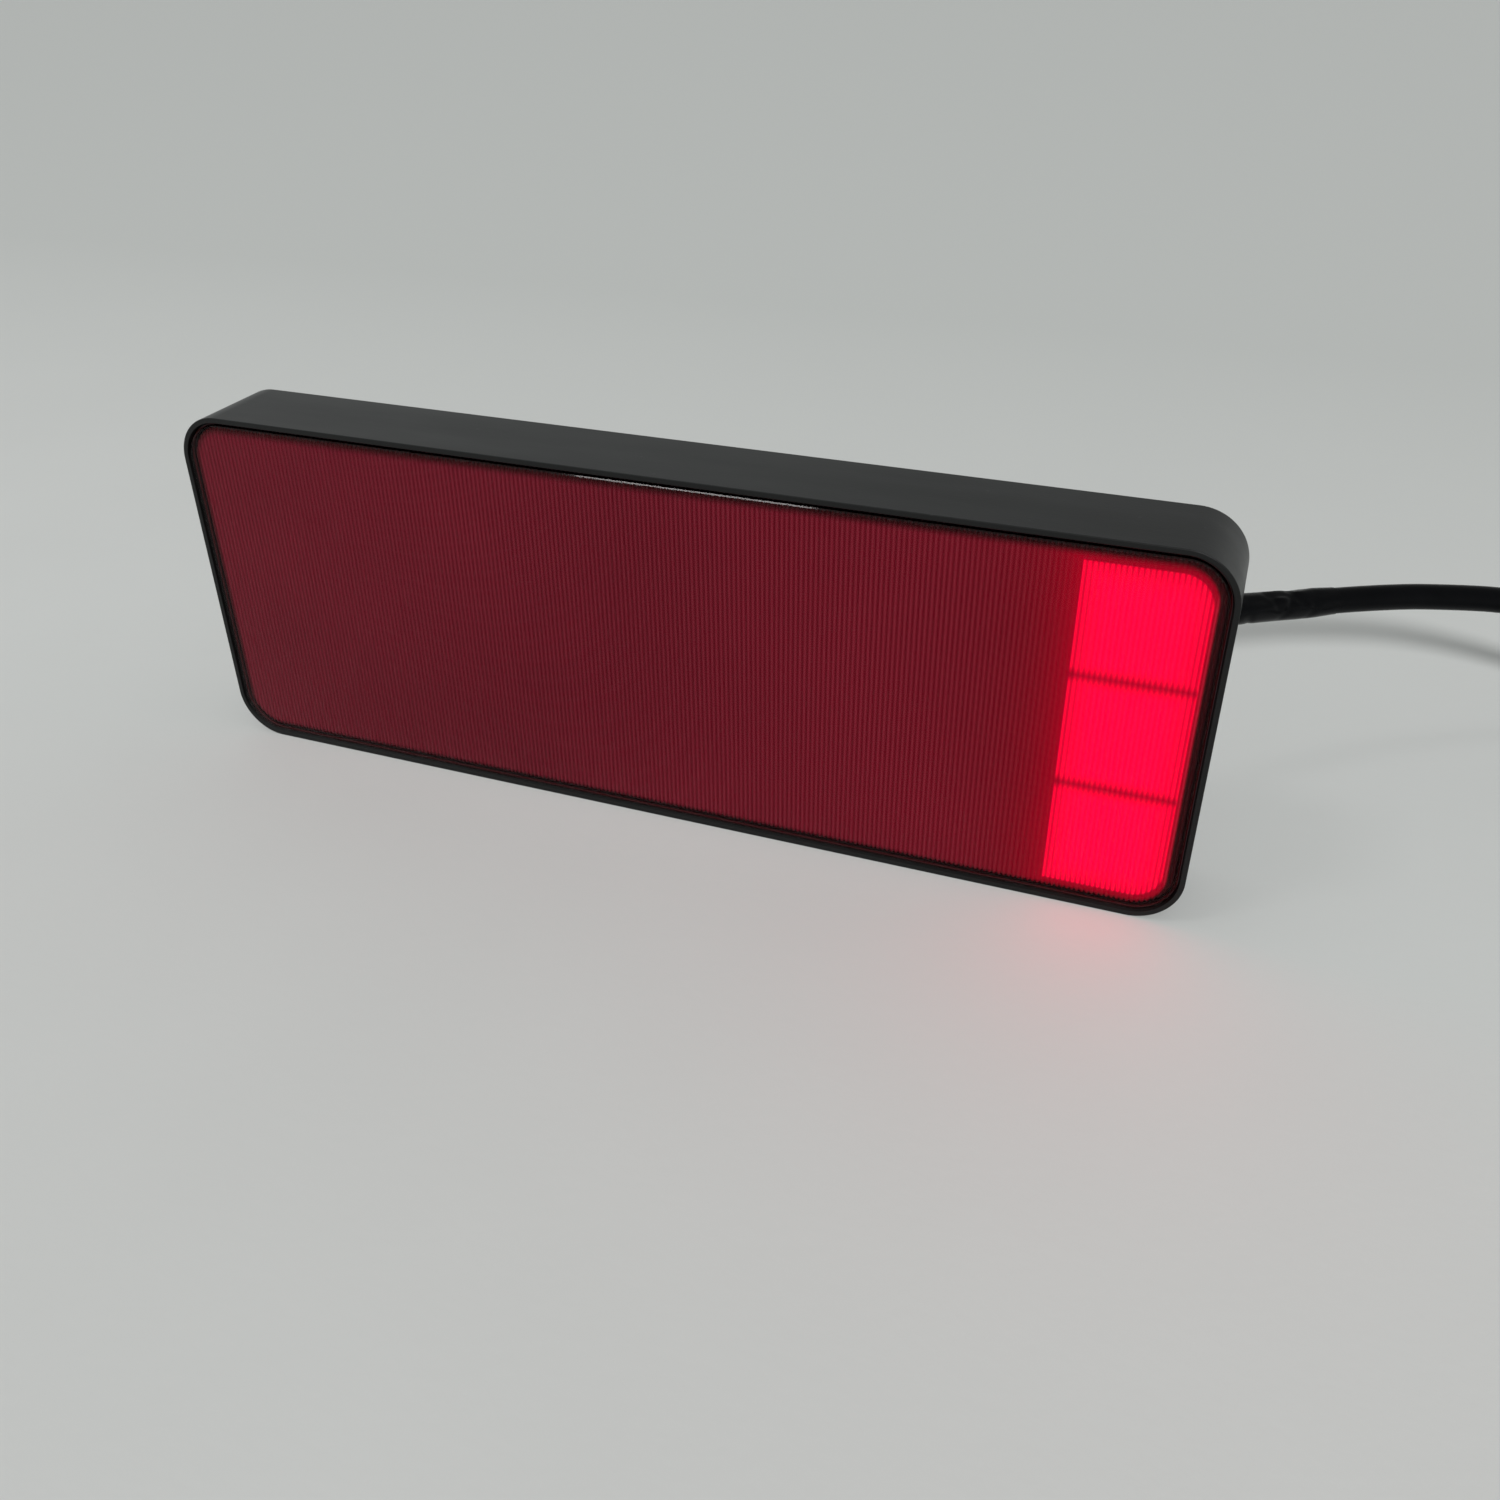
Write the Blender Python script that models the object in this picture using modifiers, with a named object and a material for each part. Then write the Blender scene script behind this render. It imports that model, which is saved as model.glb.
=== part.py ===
"""A surface-mount LED tail light for a trailer, standing on its long edge, with its coiled lead.

Metres, +Z up. X runs along the lamp, the lens faces -Y and the mounting studs stand out to +Y.
The origin is under the middle of the lamp and its studs, on the surface that the lamp stands on.
Depths are counted from the front of the rim, towards the back.
"""

import math

import bmesh
import bpy
from mathutils import Matrix, Vector

# Housing
WIDTH = 0.280
HEIGHT = 0.100
DEPTH = 0.027
CORNER = 0.013
RIM = 0.0014
BACK_WALL = 0.0025
FRONT_ROUND = 0.0005
BACK_ROUND = 0.0012
STUD_OUT = 0.018
GAP = 0.0003
OVERRUN = 0.002

# Optical stack, by depth
LENS_DEPTHS = (0.0002, 0.0012)
SEAL_DEPTHS = (0.0015, 0.0020)
LENS_LEDGE = 0.0023
SHEET_DEPTHS = (0.0015, 0.0030)
SHEET_LEDGE = 0.0033
BAFFLE_DEPTHS = (0.0036, 0.0164)
BOARD_DEPTHS = (0.0170, 0.0186)
CAVITY_END = DEPTH - BACK_WALL

# Cells: a grid of light boxes, one light-emitting diode in each
COLUMNS = 9
ROWS = 3
CELL = 0.0292
CELL_WALL = 0.00065
GRID_EDGE = 0.0006
PITCH = CELL + CELL_WALL
GRID_WIDTH = COLUMNS * PITCH - CELL_WALL + 2 * GRID_EDGE
GRID_HEIGHT = ROWS * PITCH - CELL_WALL + 2 * GRID_EDGE
GRID_CORNER = 0.008
LED_SIZE = (0.0035, 0.0008, 0.0028)

# Outlines inside the housing: width, height, corner radius
LENS_POCKET = (WIDTH - 2 * RIM, HEIGHT - 2 * RIM, CORNER - RIM)
LENS_GAP = 0.00035
LENS = tuple(side - 2 * LENS_GAP for side in LENS_POCKET[:2]) + (LENS_POCKET[2] - LENS_GAP,)
SEAL = tuple(side - 2 * GAP for side in LENS_POCKET[:2]) + (LENS_POCKET[2] - GAP,)
SHEET = (0.2715, 0.0924, 0.0092)
SHEET_POCKET = (SHEET[0] + 0.0007, SHEET[1] + 0.0007, SHEET[2] + 0.00035)
SEAL_HOLE = (SHEET[0] + 0.0015, SHEET[1] + 0.0014, SHEET[2] + 0.0007)
CAVITY = (GRID_WIDTH + 2 * GAP, GRID_HEIGHT + 2 * GAP, GRID_CORNER + GAP)
BOARD = (0.2670, 0.0880, 0.0070)

# Back of the housing: two shallow recesses that leave a flush border, a middle land and pads
RECESS_DEPTH = 0.0010
RECESS = (0.1200, 0.0800, 0.0060)
RECESS_X = 0.0680
PAD_RADIUS = 0.0105

# Fixings
STUD_SPACING = 0.152
STUD_RADIUS = 0.0030
STUD_HEAD = (0.0060, 0.0025)
STUD_CHAMFER = 0.0006
WASHER = (0.00325, 0.0060, 0.0016)
NUT_FLATS = 0.010
NUT_HEIGHT = 0.005
SCREW_PLACES = [(x, z) for x in (-0.0970, 0.0970) for z in (-0.0380, 0.0380)]
SCREW_HEAD = (0.0028, 0.0018)
SCREW_RADIUS = 0.00145
SCREW_END = 0.0240
BOSS_RADIUS = 0.0036

# Electronics on the board's back: width, depth, height, then place along X and above the middle
TERMINAL_SIZE = (0.0080, 0.0045, 0.0140)
TERMINAL_PLACE = (0.0980, 0.0090)
CHIP_SIZE = (0.0050, 0.0015, 0.0040)
CHIP_PLACE = (0.0400, -0.0180)
CAPACITOR_SIZE = (0.0063, 0.0046)
CAPACITOR_PLACE = (0.0550, 0.0200)
LEAD_RADIUS = 0.0007
LEAD_PITCH = 0.0030
LEAD_DEPTH = 0.0203

# Cable
CABLE_RADIUS = 0.0035
SLEEVE_RADIUS = 0.0038
SLEEVE_START = 0.0229
EXIT = (0.124, 0.059)
GROMMET_BORE = SLEEVE_RADIUS + GAP
GROMMET_FLANGE = 0.0075
GROMMET_NECK = 0.0052
GROMMET_TIP = 0.0100

# Coil: a flat spiral on the ground, wound from its inner turn outwards
COIL_CENTRE = (0.302, 0.0825)
COIL_INNER = 0.0280
COIL_OUTER = 0.0475
COIL_BOTTOM = 0.0016
COIL_BASE = COIL_BOTTOM + CABLE_RADIUS
TIE_THICKNESS = 0.0010
TIE_WIDTH = 0.0048
TIE_HEAD = (0.0036, 0.0066, 0.0058)
TIE_ANGLES = (math.radians(190), math.radians(310))

# Bare end: each core's place across the cable's end and above its middle, then across at
# mid-length and at its tip
CORE_RADIUS = 0.0011
CORE_LENGTH = 0.028
CORES = ("white", "brown", "red")
CORE_FAN = (
    (-0.0014, -0.0009, -0.0034, -0.0072),
    (0.0000, 0.0014, 0.0000, 0.0000),
    (0.0014, -0.0009, 0.0034, 0.0072),
)

# Derived
FRONT_Y = -(DEPTH + STUD_OUT) / 2
MIDDLE_Z = HEIGHT / 2
CORNER_STEPS = 10
ROUND_STEPS = 32
SMALL_ROUND_STEPS = 20
COIL_STEPS = 48
TUBE_SPACING = 2.2

# The cable's route where it isn't coiled, from inside the back wall to the coil's inner turn
SLEEVE_ROUTE = [
    (0.1240, 0.0004, 0.0590),
    (0.1240, 0.0150, 0.0590),
    (0.1246, 0.0215, 0.0590),
    (0.1270, 0.0280, 0.0588),
    (0.1312, 0.0340, 0.0585),
    (0.1363, 0.0385, 0.0580),
    (0.1415, 0.0426, 0.0575),
    (0.1520, 0.0515, 0.0563),
    (0.1636, 0.0600, 0.0556),
]
CABLE_ROUTE = [
    (0.1636, 0.0600, 0.0556),
    (0.1777, 0.0692, 0.0547),
    (0.1897, 0.0760, 0.0537),
    (0.2075, 0.0845, 0.0517),
    (0.2220, 0.0905, 0.0483),
    (0.2360, 0.0958, 0.0428),
    (0.2490, 0.1003, 0.0360),
    (0.2610, 0.1040, 0.0286),
    (0.2720, 0.1069, 0.0214),
    (0.2820, 0.1089, 0.0154),
    (0.2920, 0.1101, 0.0107),
    (0.3020, 0.1105, 0.0076),
]
TAIL_ROUTE = [
    (0.3287, 0.1248, 0.0051),
    (0.3380, 0.1185, 0.0048),
    (0.3460, 0.1100, 0.0042),
    (0.3515, 0.1000, 0.0037),
]


def clear_scene():
    for obj in list(bpy.data.objects):
        bpy.data.objects.remove(obj)


def new_collection(name):
    collection = bpy.data.collections.new(name)
    bpy.context.scene.collection.children.link(collection)
    return collection


def new_material(name, colour, roughness, metallic=0.0):
    material = bpy.data.materials.new(name)
    material.use_nodes = True
    shader = material.node_tree.nodes["Principled BSDF"]
    shader.inputs["Base Color"].default_value = (*colour, 1.0)
    shader.inputs["Roughness"].default_value = roughness
    shader.inputs["Metallic"].default_value = metallic
    return material


def add_object(name, data, material, location=(0, 0, 0), rotation=(0, 0, 0)):
    """Puts a new object in the lamp's collection. With no material it's a cutter."""
    obj = bpy.data.objects.new(name, data)
    obj.location = location
    obj.rotation_euler = rotation
    if material is None:
        obj.hide_render = True
        obj.display_type = "WIRE"
        cutters.objects.link(obj)
    else:
        data.materials.append(material)
        lamp.objects.link(obj)
    return obj


def finish_mesh(bm, name, smooth_above=None):
    """Turns a bmesh into a mesh, smooth except where faces meet at more than the given angle."""
    bmesh.ops.recalc_face_normals(bm, faces=bm.faces)
    mesh = bpy.data.meshes.new(name)
    bm.to_mesh(mesh)
    bm.free()
    if smooth_above is not None:
        mesh.shade_smooth()
        mesh.set_sharp_from_angle(angle=math.radians(smooth_above))
    return mesh


def depth_y(depth):
    return FRONT_Y + depth


def block(name, outline, depths, material, front_round=0.0, back_round=0.0, centre=(0, MIDDLE_Z)):
    """A plate with rounded corners: its outline faces the front, between two depths."""
    width, height, corner = outline
    start, end = depths
    bm = bmesh.new()
    bmesh.ops.create_cube(bm, size=1.0)
    bmesh.ops.scale(bm, vec=(width, end - start, height), verts=bm.verts)
    if corner:
        edges = [edge for edge in bm.edges if abs(edge.verts[0].co.y - edge.verts[1].co.y) > 1e-6]
        bmesh.ops.bevel(
            bm, geom=edges, offset=corner, segments=CORNER_STEPS, profile=0.5, affect="EDGES"
        )
    for side, rounding in ((-1, front_round), (1, back_round)):
        if rounding:
            face = max(bm.faces, key=lambda f: side * f.calc_center_median().y)
            edges = list(face.edges)
            bmesh.ops.bevel(bm, geom=edges, offset=rounding, segments=2, profile=0.5, affect="EDGES")
    place = (centre[0], depth_y((start + end) / 2), centre[1])
    return add_object(name, finish_mesh(bm, name, smooth_above=35), material, place)


def rod(name, radius, depths, material, centre, steps=ROUND_STEPS):
    """A cylinder along Y between two depths."""
    start, end = depths
    bm = bmesh.new()
    bmesh.ops.create_cone(
        bm, cap_ends=True, segments=steps, radius1=radius, radius2=radius, depth=end - start
    )
    bmesh.ops.rotate(bm, cent=(0, 0, 0), matrix=Matrix.Rotation(math.pi / 2, 3, "X"), verts=bm.verts)
    place = (centre[0], depth_y((start + end) / 2), centre[1])
    return add_object(name, finish_mesh(bm, name, smooth_above=35), material, place)


def turned(name, profile, closed, material, location, rotation=(0, 0, 0), steps=ROUND_STEPS):
    """A turned solid: a profile of radius and height, down its outer side, swept with a Screw."""
    bm = bmesh.new()
    points = [bm.verts.new((radius, 0, height)) for radius, height in profile]
    for first, second in zip(points, points[1:]):
        bm.edges.new((first, second))
    if closed:
        bm.edges.new((points[-1], points[0]))
    mesh = bpy.data.meshes.new(name)
    bm.to_mesh(mesh)
    bm.free()
    obj = add_object(name, mesh, material, location, rotation)
    screw = obj.modifiers.new("Turn", "SCREW")
    screw.steps = steps
    screw.render_steps = steps
    screw.use_merge_vertices = True
    screw.merge_threshold = 1e-6
    screw.use_smooth_shade = True
    return obj


def turned_along_y(name, profile, closed, material, centre, steps=ROUND_STEPS):
    """A turned solid about a line along Y. The profile's heights are depths."""
    place = (centre[0], FRONT_Y, centre[1])
    return turned(name, profile, closed, material, place, (-math.pi / 2, 0, 0), steps)


def boolean(obj, other, operation):
    modifier = obj.modifiers.new(f"{operation.title()} {other.name}", "BOOLEAN")
    modifier.object = other
    modifier.operation = operation
    modifier.solver = "EXACT"


def smooth_route(route, spacing):
    """Points at about this spacing along a Catmull-Rom curve through the route's points."""
    points = [Vector(point) for point in route]
    points.insert(0, 2 * points[0] - points[1])
    points.append(2 * points[-1] - points[-2])
    smooth = []
    for before, start, end, after in zip(points, points[1:], points[2:], points[3:]):
        steps = max(1, round((end - start).length / spacing))
        for step in range(steps):
            t = step / steps
            smooth.append(
                0.5
                * (
                    2 * start
                    + (end - before) * t
                    + (2 * before - 5 * start + 4 * end - after) * t**2
                    + (3 * start - before - 3 * end + after) * t**3
                )
            )
    smooth.append(points[-2])
    return smooth


def tube(name, points, radius, material, resolution=2):
    curve = bpy.data.curves.new(name, "CURVE")
    curve.dimensions = "3D"
    curve.bevel_depth = radius
    curve.bevel_resolution = resolution
    curve.use_fill_caps = True
    spline = curve.splines.new("POLY")
    spline.points.add(len(points) - 1)
    for spline_point, point in zip(spline.points, points):
        spline_point.co = (*point, 1.0)
    return add_object(name, curve, material)


def as_mesh(obj):
    """Replaces a curve object with a mesh of the same name, its caps welded, so it can be cut."""
    name = obj.name
    graph = bpy.context.evaluated_depsgraph_get()
    mesh = bpy.data.meshes.new_from_object(obj.evaluated_get(graph))
    matrix = obj.matrix_world.copy()
    material = obj.data.materials[0]
    bpy.data.objects.remove(obj)
    bm = bmesh.new()
    bm.from_mesh(mesh)
    bmesh.ops.remove_doubles(bm, verts=bm.verts, dist=1e-6)
    bmesh.ops.recalc_face_normals(bm, faces=bm.faces)
    bm.to_mesh(mesh)
    bm.free()
    mesh.materials.clear()
    solid = add_object(name, mesh, material)
    solid.matrix_world = matrix
    return solid


def make_housing(material):
    """The tray: stepped pockets for lens, sheet and cells, bosses inside, recesses on its back."""
    housing = block(
        "housing", (WIDTH, HEIGHT, CORNER), (0, DEPTH), material, FRONT_ROUND, BACK_ROUND
    )
    pockets = (
        ("lens_pocket", LENS_POCKET, LENS_LEDGE),
        ("sheet_pocket", SHEET_POCKET, SHEET_LEDGE),
        ("cavity", CAVITY, CAVITY_END),
    )
    for name, outline, bottom in pockets:
        boolean(housing, block(name, outline, (-OVERRUN, bottom), None), "DIFFERENCE")
    for side in (-1, 1):
        recess = block(
            f"back_recess_{side}",
            RECESS,
            (DEPTH - RECESS_DEPTH, DEPTH + OVERRUN),
            None,
            centre=(side * RECESS_X, MIDDLE_Z),
        )
        pad_places = [(side * STUD_SPACING / 2, MIDDLE_Z)]
        if side > 0:
            pad_places.append(EXIT)
        for index, place in enumerate(pad_places):
            pad = rod(
                f"pad_{side}_{index}",
                PAD_RADIUS,
                (DEPTH - 2 * RECESS_DEPTH, DEPTH + 2 * OVERRUN),
                None,
                place,
            )
            boolean(recess, pad, "DIFFERENCE")
        boolean(housing, recess, "DIFFERENCE")
    for index, (x, z) in enumerate(SCREW_PLACES):
        place = (x, MIDDLE_Z + z)
        boss_depths = (BOARD_DEPTHS[1] + GAP, CAVITY_END + GAP)
        boss = rod(f"boss_{index}", BOSS_RADIUS, boss_depths, None, place, SMALL_ROUND_STEPS)
        boolean(housing, boss, "UNION")
        hole = rod(
            f"boss_hole_{index}",
            SCREW_RADIUS + GAP,
            (BOARD_DEPTHS[0], SCREW_END + GAP),
            None,
            place,
            SMALL_ROUND_STEPS,
        )
        boolean(housing, hole, "DIFFERENCE")
    holes = [(EXIT, GROMMET_NECK + GAP)]
    holes += [((side * STUD_SPACING / 2, MIDDLE_Z), STUD_RADIUS + GAP) for side in (-1, 1)]
    for index, (place, radius) in enumerate(holes):
        hole = rod(
            f"back_hole_{index}", radius, (CAVITY_END - OVERRUN, DEPTH + OVERRUN), None, place
        )
        boolean(housing, hole, "DIFFERENCE")


def make_optics(lens_material, sheet_material, seal_material, baffle_material):
    block("outer_lens", LENS, LENS_DEPTHS, lens_material, front_round=FRONT_ROUND)
    block("fluted_diffuser", SHEET, SHEET_DEPTHS, sheet_material)
    seal = block("lens_seal", SEAL, SEAL_DEPTHS, seal_material)
    seal_depths = (SEAL_DEPTHS[0] - OVERRUN, SEAL_DEPTHS[1] + OVERRUN)
    boolean(seal, block("seal_hole", SEAL_HOLE, seal_depths, None), "DIFFERENCE")
    grid = (GRID_WIDTH, GRID_HEIGHT, GRID_CORNER)
    baffle = block("cell_baffle", grid, BAFFLE_DEPTHS, baffle_material)
    inside = tuple(side - 2 * GRID_EDGE for side in grid[:2]) + (GRID_CORNER - GRID_EDGE,)
    cell_depths = (BAFFLE_DEPTHS[0] - OVERRUN, BAFFLE_DEPTHS[1] + OVERRUN)
    cells = block("cells", inside, cell_depths, None)
    for column in range(1, COLUMNS):
        wall_x = (column - COLUMNS / 2) * PITCH
        place = (wall_x, MIDDLE_Z)
        wall = block(
            f"column_wall_{column}", (CELL_WALL, HEIGHT, 0), (-OVERRUN, DEPTH), None, centre=place
        )
        boolean(cells, wall, "DIFFERENCE")
    for row in range(1, ROWS):
        wall_z = MIDDLE_Z + (row - ROWS / 2) * PITCH
        wall = block(
            f"row_wall_{row}", (WIDTH, CELL_WALL, 0), (-OVERRUN, DEPTH), None, centre=(0, wall_z)
        )
        boolean(cells, wall, "DIFFERENCE")
    boolean(baffle, cells, "DIFFERENCE")


def make_board(board_material, screw_material):
    """The printed circuit board and the four screws that hold it to the housing's bosses."""
    board = block("led_board", BOARD, BOARD_DEPTHS, board_material)
    head_radius, head_height = SCREW_HEAD
    head_back = BOARD_DEPTHS[0] - GAP
    profile = (
        (0, SCREW_END),
        (SCREW_RADIUS, SCREW_END),
        (SCREW_RADIUS, head_back),
        (head_radius, head_back),
        (head_radius, head_back - head_height / 2),
        (head_radius - head_height / 2, head_back - head_height),
        (0, head_back - head_height),
    )
    for number, (x, z) in enumerate(SCREW_PLACES, 1):
        place = (x, MIDDLE_Z + z)
        hole_depths = (BOARD_DEPTHS[0] - OVERRUN, BOARD_DEPTHS[1] + OVERRUN)
        hole = rod(f"board_hole_{number}", SCREW_RADIUS + GAP, hole_depths, None, place, SMALL_ROUND_STEPS)
        boolean(board, hole, "DIFFERENCE")
        turned_along_y(
            f"board_screw_{number}", profile, False, screw_material, place, SMALL_ROUND_STEPS
        )


def make_leds(material):
    width, thickness, height = LED_SIZE
    back = BOARD_DEPTHS[0] - GAP
    for row in range(ROWS):
        for column in range(COLUMNS):
            x = (column - (COLUMNS - 1) / 2) * PITCH
            z = MIDDLE_Z + ((ROWS - 1) / 2 - row) * PITCH
            name = f"led_row{row + 1}_column{column + 1}"
            block(name, (width, height, 0), (back - thickness, back), material, centre=(x, z))


def make_electronics(terminal_material, chip_material, capacitor_material):
    front = BOARD_DEPTHS[1] + GAP
    parts = (
        ("cable_terminal", TERMINAL_SIZE, TERMINAL_PLACE, terminal_material),
        ("driver_chip", CHIP_SIZE, CHIP_PLACE, chip_material),
    )
    for name, (width, thickness, height), (x, z), material in parts:
        depths = (front, front + thickness)
        block(name, (width, height, 0), depths, material, centre=(x, MIDDLE_Z + z))
    diameter, thickness = CAPACITOR_SIZE
    x, z = CAPACITOR_PLACE
    rod(
        "input_capacitor", diameter / 2, (front, front + thickness), capacitor_material, (x, MIDDLE_Z + z)
    )


def make_inner_leads(materials):
    """The cores inside the housing, from the cable's inner end to the terminal on the board."""
    terminal_x = TERMINAL_PLACE[0] + TERMINAL_SIZE[0] / 2 + GAP
    for index, name in enumerate(CORES):
        across = index - (len(CORES) - 1) / 2
        start_z = EXIT[1] + across * LEAD_PITCH / 2
        route = (
            (EXIT[0], depth_y(SLEEVE_START - GAP), start_z),
            (EXIT[0] - 0.0006, depth_y(LEAD_DEPTH + 0.0010), start_z),
            (EXIT[0] - 0.0030, depth_y(LEAD_DEPTH), start_z),
            (EXIT[0] - 0.0110, depth_y(LEAD_DEPTH), EXIT[1] + across * LEAD_PITCH),
            (terminal_x + 0.0040, depth_y(LEAD_DEPTH), EXIT[1] + across * LEAD_PITCH),
            (terminal_x, depth_y(LEAD_DEPTH), EXIT[1] + across * LEAD_PITCH),
        )
        points = smooth_route(route, 3 * LEAD_RADIUS)
        tube(f"lead_{name}", points, LEAD_RADIUS, materials[name])


def make_fixings(material):
    """Two studs that pass out through the back wall, each with a washer and a nut."""
    head_radius, head_height = STUD_HEAD
    head_back = CAVITY_END - GAP
    tip = DEPTH + STUD_OUT
    stud_profile = (
        (0, tip),
        (STUD_RADIUS - STUD_CHAMFER, tip),
        (STUD_RADIUS, tip - STUD_CHAMFER),
        (STUD_RADIUS, head_back),
        (head_radius, head_back),
        (head_radius, head_back - head_height),
        (0, head_back - head_height),
    )
    bore, rim, thickness = WASHER
    washer_front = DEPTH + GAP
    washer_profile = (
        (bore, washer_front + thickness),
        (rim, washer_front + thickness),
        (rim, washer_front),
        (bore, washer_front),
    )
    nut_front = washer_front + thickness + GAP
    nut_depths = (nut_front, nut_front + NUT_HEIGHT)
    for number, side in enumerate((-1, 1), 1):
        place = (side * STUD_SPACING / 2, MIDDLE_Z)
        turned_along_y(f"mounting_stud_{number}", stud_profile, False, material, place)
        turned_along_y(f"stud_washer_{number}", washer_profile, True, material, place)
        nut_radius = NUT_FLATS / math.sqrt(3)
        nut = rod(f"stud_nut_{number}", nut_radius, nut_depths, material, place, 6)
        hole_depths = (nut_depths[0] - OVERRUN, nut_depths[1] + OVERRUN)
        hole = rod(f"nut_hole_{number}", WASHER[0], hole_depths, None, place)
        boolean(nut, hole, "DIFFERENCE")


def make_grommet(material):
    """The rubber grommet: flanges on both sides of the back wall and a tapered collar outside."""
    profile = (
        (GROMMET_BORE, DEPTH + GROMMET_TIP),
        (GROMMET_BORE + 0.0010, DEPTH + GROMMET_TIP),
        (GROMMET_BORE + 0.0022, DEPTH + 0.0022),
        (GROMMET_FLANGE - 0.0004, DEPTH + 0.0018),
        (GROMMET_FLANGE, DEPTH + 0.0014),
        (GROMMET_FLANGE, DEPTH + GAP),
        (GROMMET_NECK, DEPTH + GAP),
        (GROMMET_NECK, CAVITY_END - GAP),
        (GROMMET_FLANGE, CAVITY_END - GAP),
        (GROMMET_FLANGE - 0.0004, CAVITY_END - 0.0013),
        (GROMMET_BORE, CAVITY_END - 0.0013),
    )
    turned_along_y("cable_grommet", profile, True, material, EXIT)


def arc(centre, radius, start, end, steps):
    """Points on an arc, its angles in degrees counted from +X towards +Z."""
    angles = [math.radians(start + (end - start) * step / steps) for step in range(steps + 1)]
    return [(centre[0] + radius * math.cos(a), centre[1] + radius * math.sin(a)) for a in angles]


def coil_outline(growth=0.0):
    """The outline around the coil's turns, cut across, down its outer side."""
    radius = CABLE_RADIUS + growth
    outer = (COIL_OUTER, COIL_BASE)
    inner = (COIL_INNER, COIL_BASE)
    return arc(outer, radius, 90, -90, 8) + arc(inner, radius, -90, -270, 8)


def make_coil(material):
    place = (*COIL_CENTRE, 0)
    turned("cable_coil", coil_outline(), True, material, place, steps=COIL_STEPS)
    return turned("coil_space", coil_outline(GAP), True, None, place, steps=COIL_STEPS)


def make_tie(number, angle, material):
    """A nylon tie pulled round the coil's turns, with its head on the inside."""
    curve = bpy.data.curves.new(f"coil_tie_{number}", "CURVE")
    curve.dimensions = "2D"
    curve.fill_mode = "BOTH"
    curve.extrude = TIE_WIDTH / 2
    for growth in (GAP, GAP + TIE_THICKNESS):
        outline = coil_outline(growth)
        spline = curve.splines.new("POLY")
        spline.points.add(len(outline) - 1)
        spline.use_cyclic_u = True
        for spline_point, (radius, height) in zip(spline.points, outline):
            spline_point.co = (radius, height, 0, 1.0)
    place = (*COIL_CENTRE, 0)
    band = add_object(f"coil_tie_{number}", curve, material, place, (math.pi / 2, 0, angle))
    bpy.context.view_layer.update()
    band = as_mesh(band)
    head_radius = COIL_INNER - CABLE_RADIUS - GAP - TIE_THICKNESS / 2 - TIE_HEAD[0] / 2
    bm = bmesh.new()
    bmesh.ops.create_cube(bm, size=1.0)
    bmesh.ops.scale(bm, vec=TIE_HEAD, verts=bm.verts)
    bmesh.ops.translate(bm, vec=(head_radius, 0, COIL_BASE), verts=bm.verts)
    name = f"tie_head_{number}"
    head = add_object(name, finish_mesh(bm, name), None, place, (0, 0, angle))
    boolean(band, head, "UNION")


def make_cable(cable_material, sleeve_material, tie_material):
    """The sleeve, the free stretch, the coil and the free end, each cut clear of the coil."""
    coil_space = make_coil(cable_material)
    spacing = TUBE_SPACING * 2 * CABLE_RADIUS
    sleeve = smooth_route(SLEEVE_ROUTE, spacing)
    tube("cable_sleeve", sleeve, SLEEVE_RADIUS, sleeve_material, resolution=3)
    route = smooth_route(CABLE_ROUTE, spacing)
    route[0] = route[0] + GAP * (route[1] - route[0]).normalized()
    free = as_mesh(tube("cable", route, CABLE_RADIUS, cable_material, resolution=3))
    boolean(free, coil_space, "DIFFERENCE")
    end = smooth_route(TAIL_ROUTE, spacing)
    tail = as_mesh(tube("cable_tail", end, CABLE_RADIUS, cable_material, resolution=3))
    boolean(tail, coil_space, "DIFFERENCE")
    for number, angle in enumerate(TIE_ANGLES, 1):
        make_tie(number, angle, tie_material)


def make_bare_cores(materials):
    """The stripped cores at the cable's far end, fanned out on the ground."""
    end = Vector(TAIL_ROUTE[-1])
    ahead = (end - Vector(TAIL_ROUTE[-2])).normalized()
    across = ahead.cross(Vector((0, 0, 1))).normalized()
    for name, (side, up, middle_side, tip_side) in zip(CORES, CORE_FAN):
        start = end + GAP * ahead + across * side
        start.z = end.z + up
        start_out = start + ahead * CORE_LENGTH / 8
        middle = end + ahead * CORE_LENGTH / 2 + across * middle_side
        middle.z = (start.z + CORE_RADIUS) / 2
        tip = end + ahead * CORE_LENGTH + across * tip_side
        tip.z = CORE_RADIUS + 0.0001
        points = smooth_route([start, start_out, middle, tip], 3 * CORE_RADIUS)
        tube(f"core_{name}", points, CORE_RADIUS, materials[name])


clear_scene()
lamp = new_collection("trailer_tail_light")
cutters = new_collection("cutters")

black_plastic = new_material("black_plastic", (0.035, 0.036, 0.037), 0.45)
red_plastic = new_material("red_plastic", (0.35, 0.01, 0.03), 0.08)
diffuser_plastic = new_material("diffuser_plastic", (0.45, 0.03, 0.06), 0.35)
seal_rubber = new_material("seal_rubber", (0.015, 0.015, 0.015), 0.7)
white_plastic = new_material("white_plastic", (0.80, 0.80, 0.78), 0.5)
board_laminate = new_material("board_laminate", (0.75, 0.77, 0.74), 0.4)
led_package = new_material("led_package", (0.85, 0.75, 0.35), 0.3)
component_plastic = new_material("component_plastic", (0.03, 0.03, 0.03), 0.4)
bright_metal = new_material("bright_metal", (0.70, 0.70, 0.68), 0.3, 1.0)
cable_jacket = new_material("cable_jacket", (0.012, 0.012, 0.013), 0.4)
sleeve_film = new_material("sleeve_film", (0.014, 0.014, 0.015), 0.3)
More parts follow.
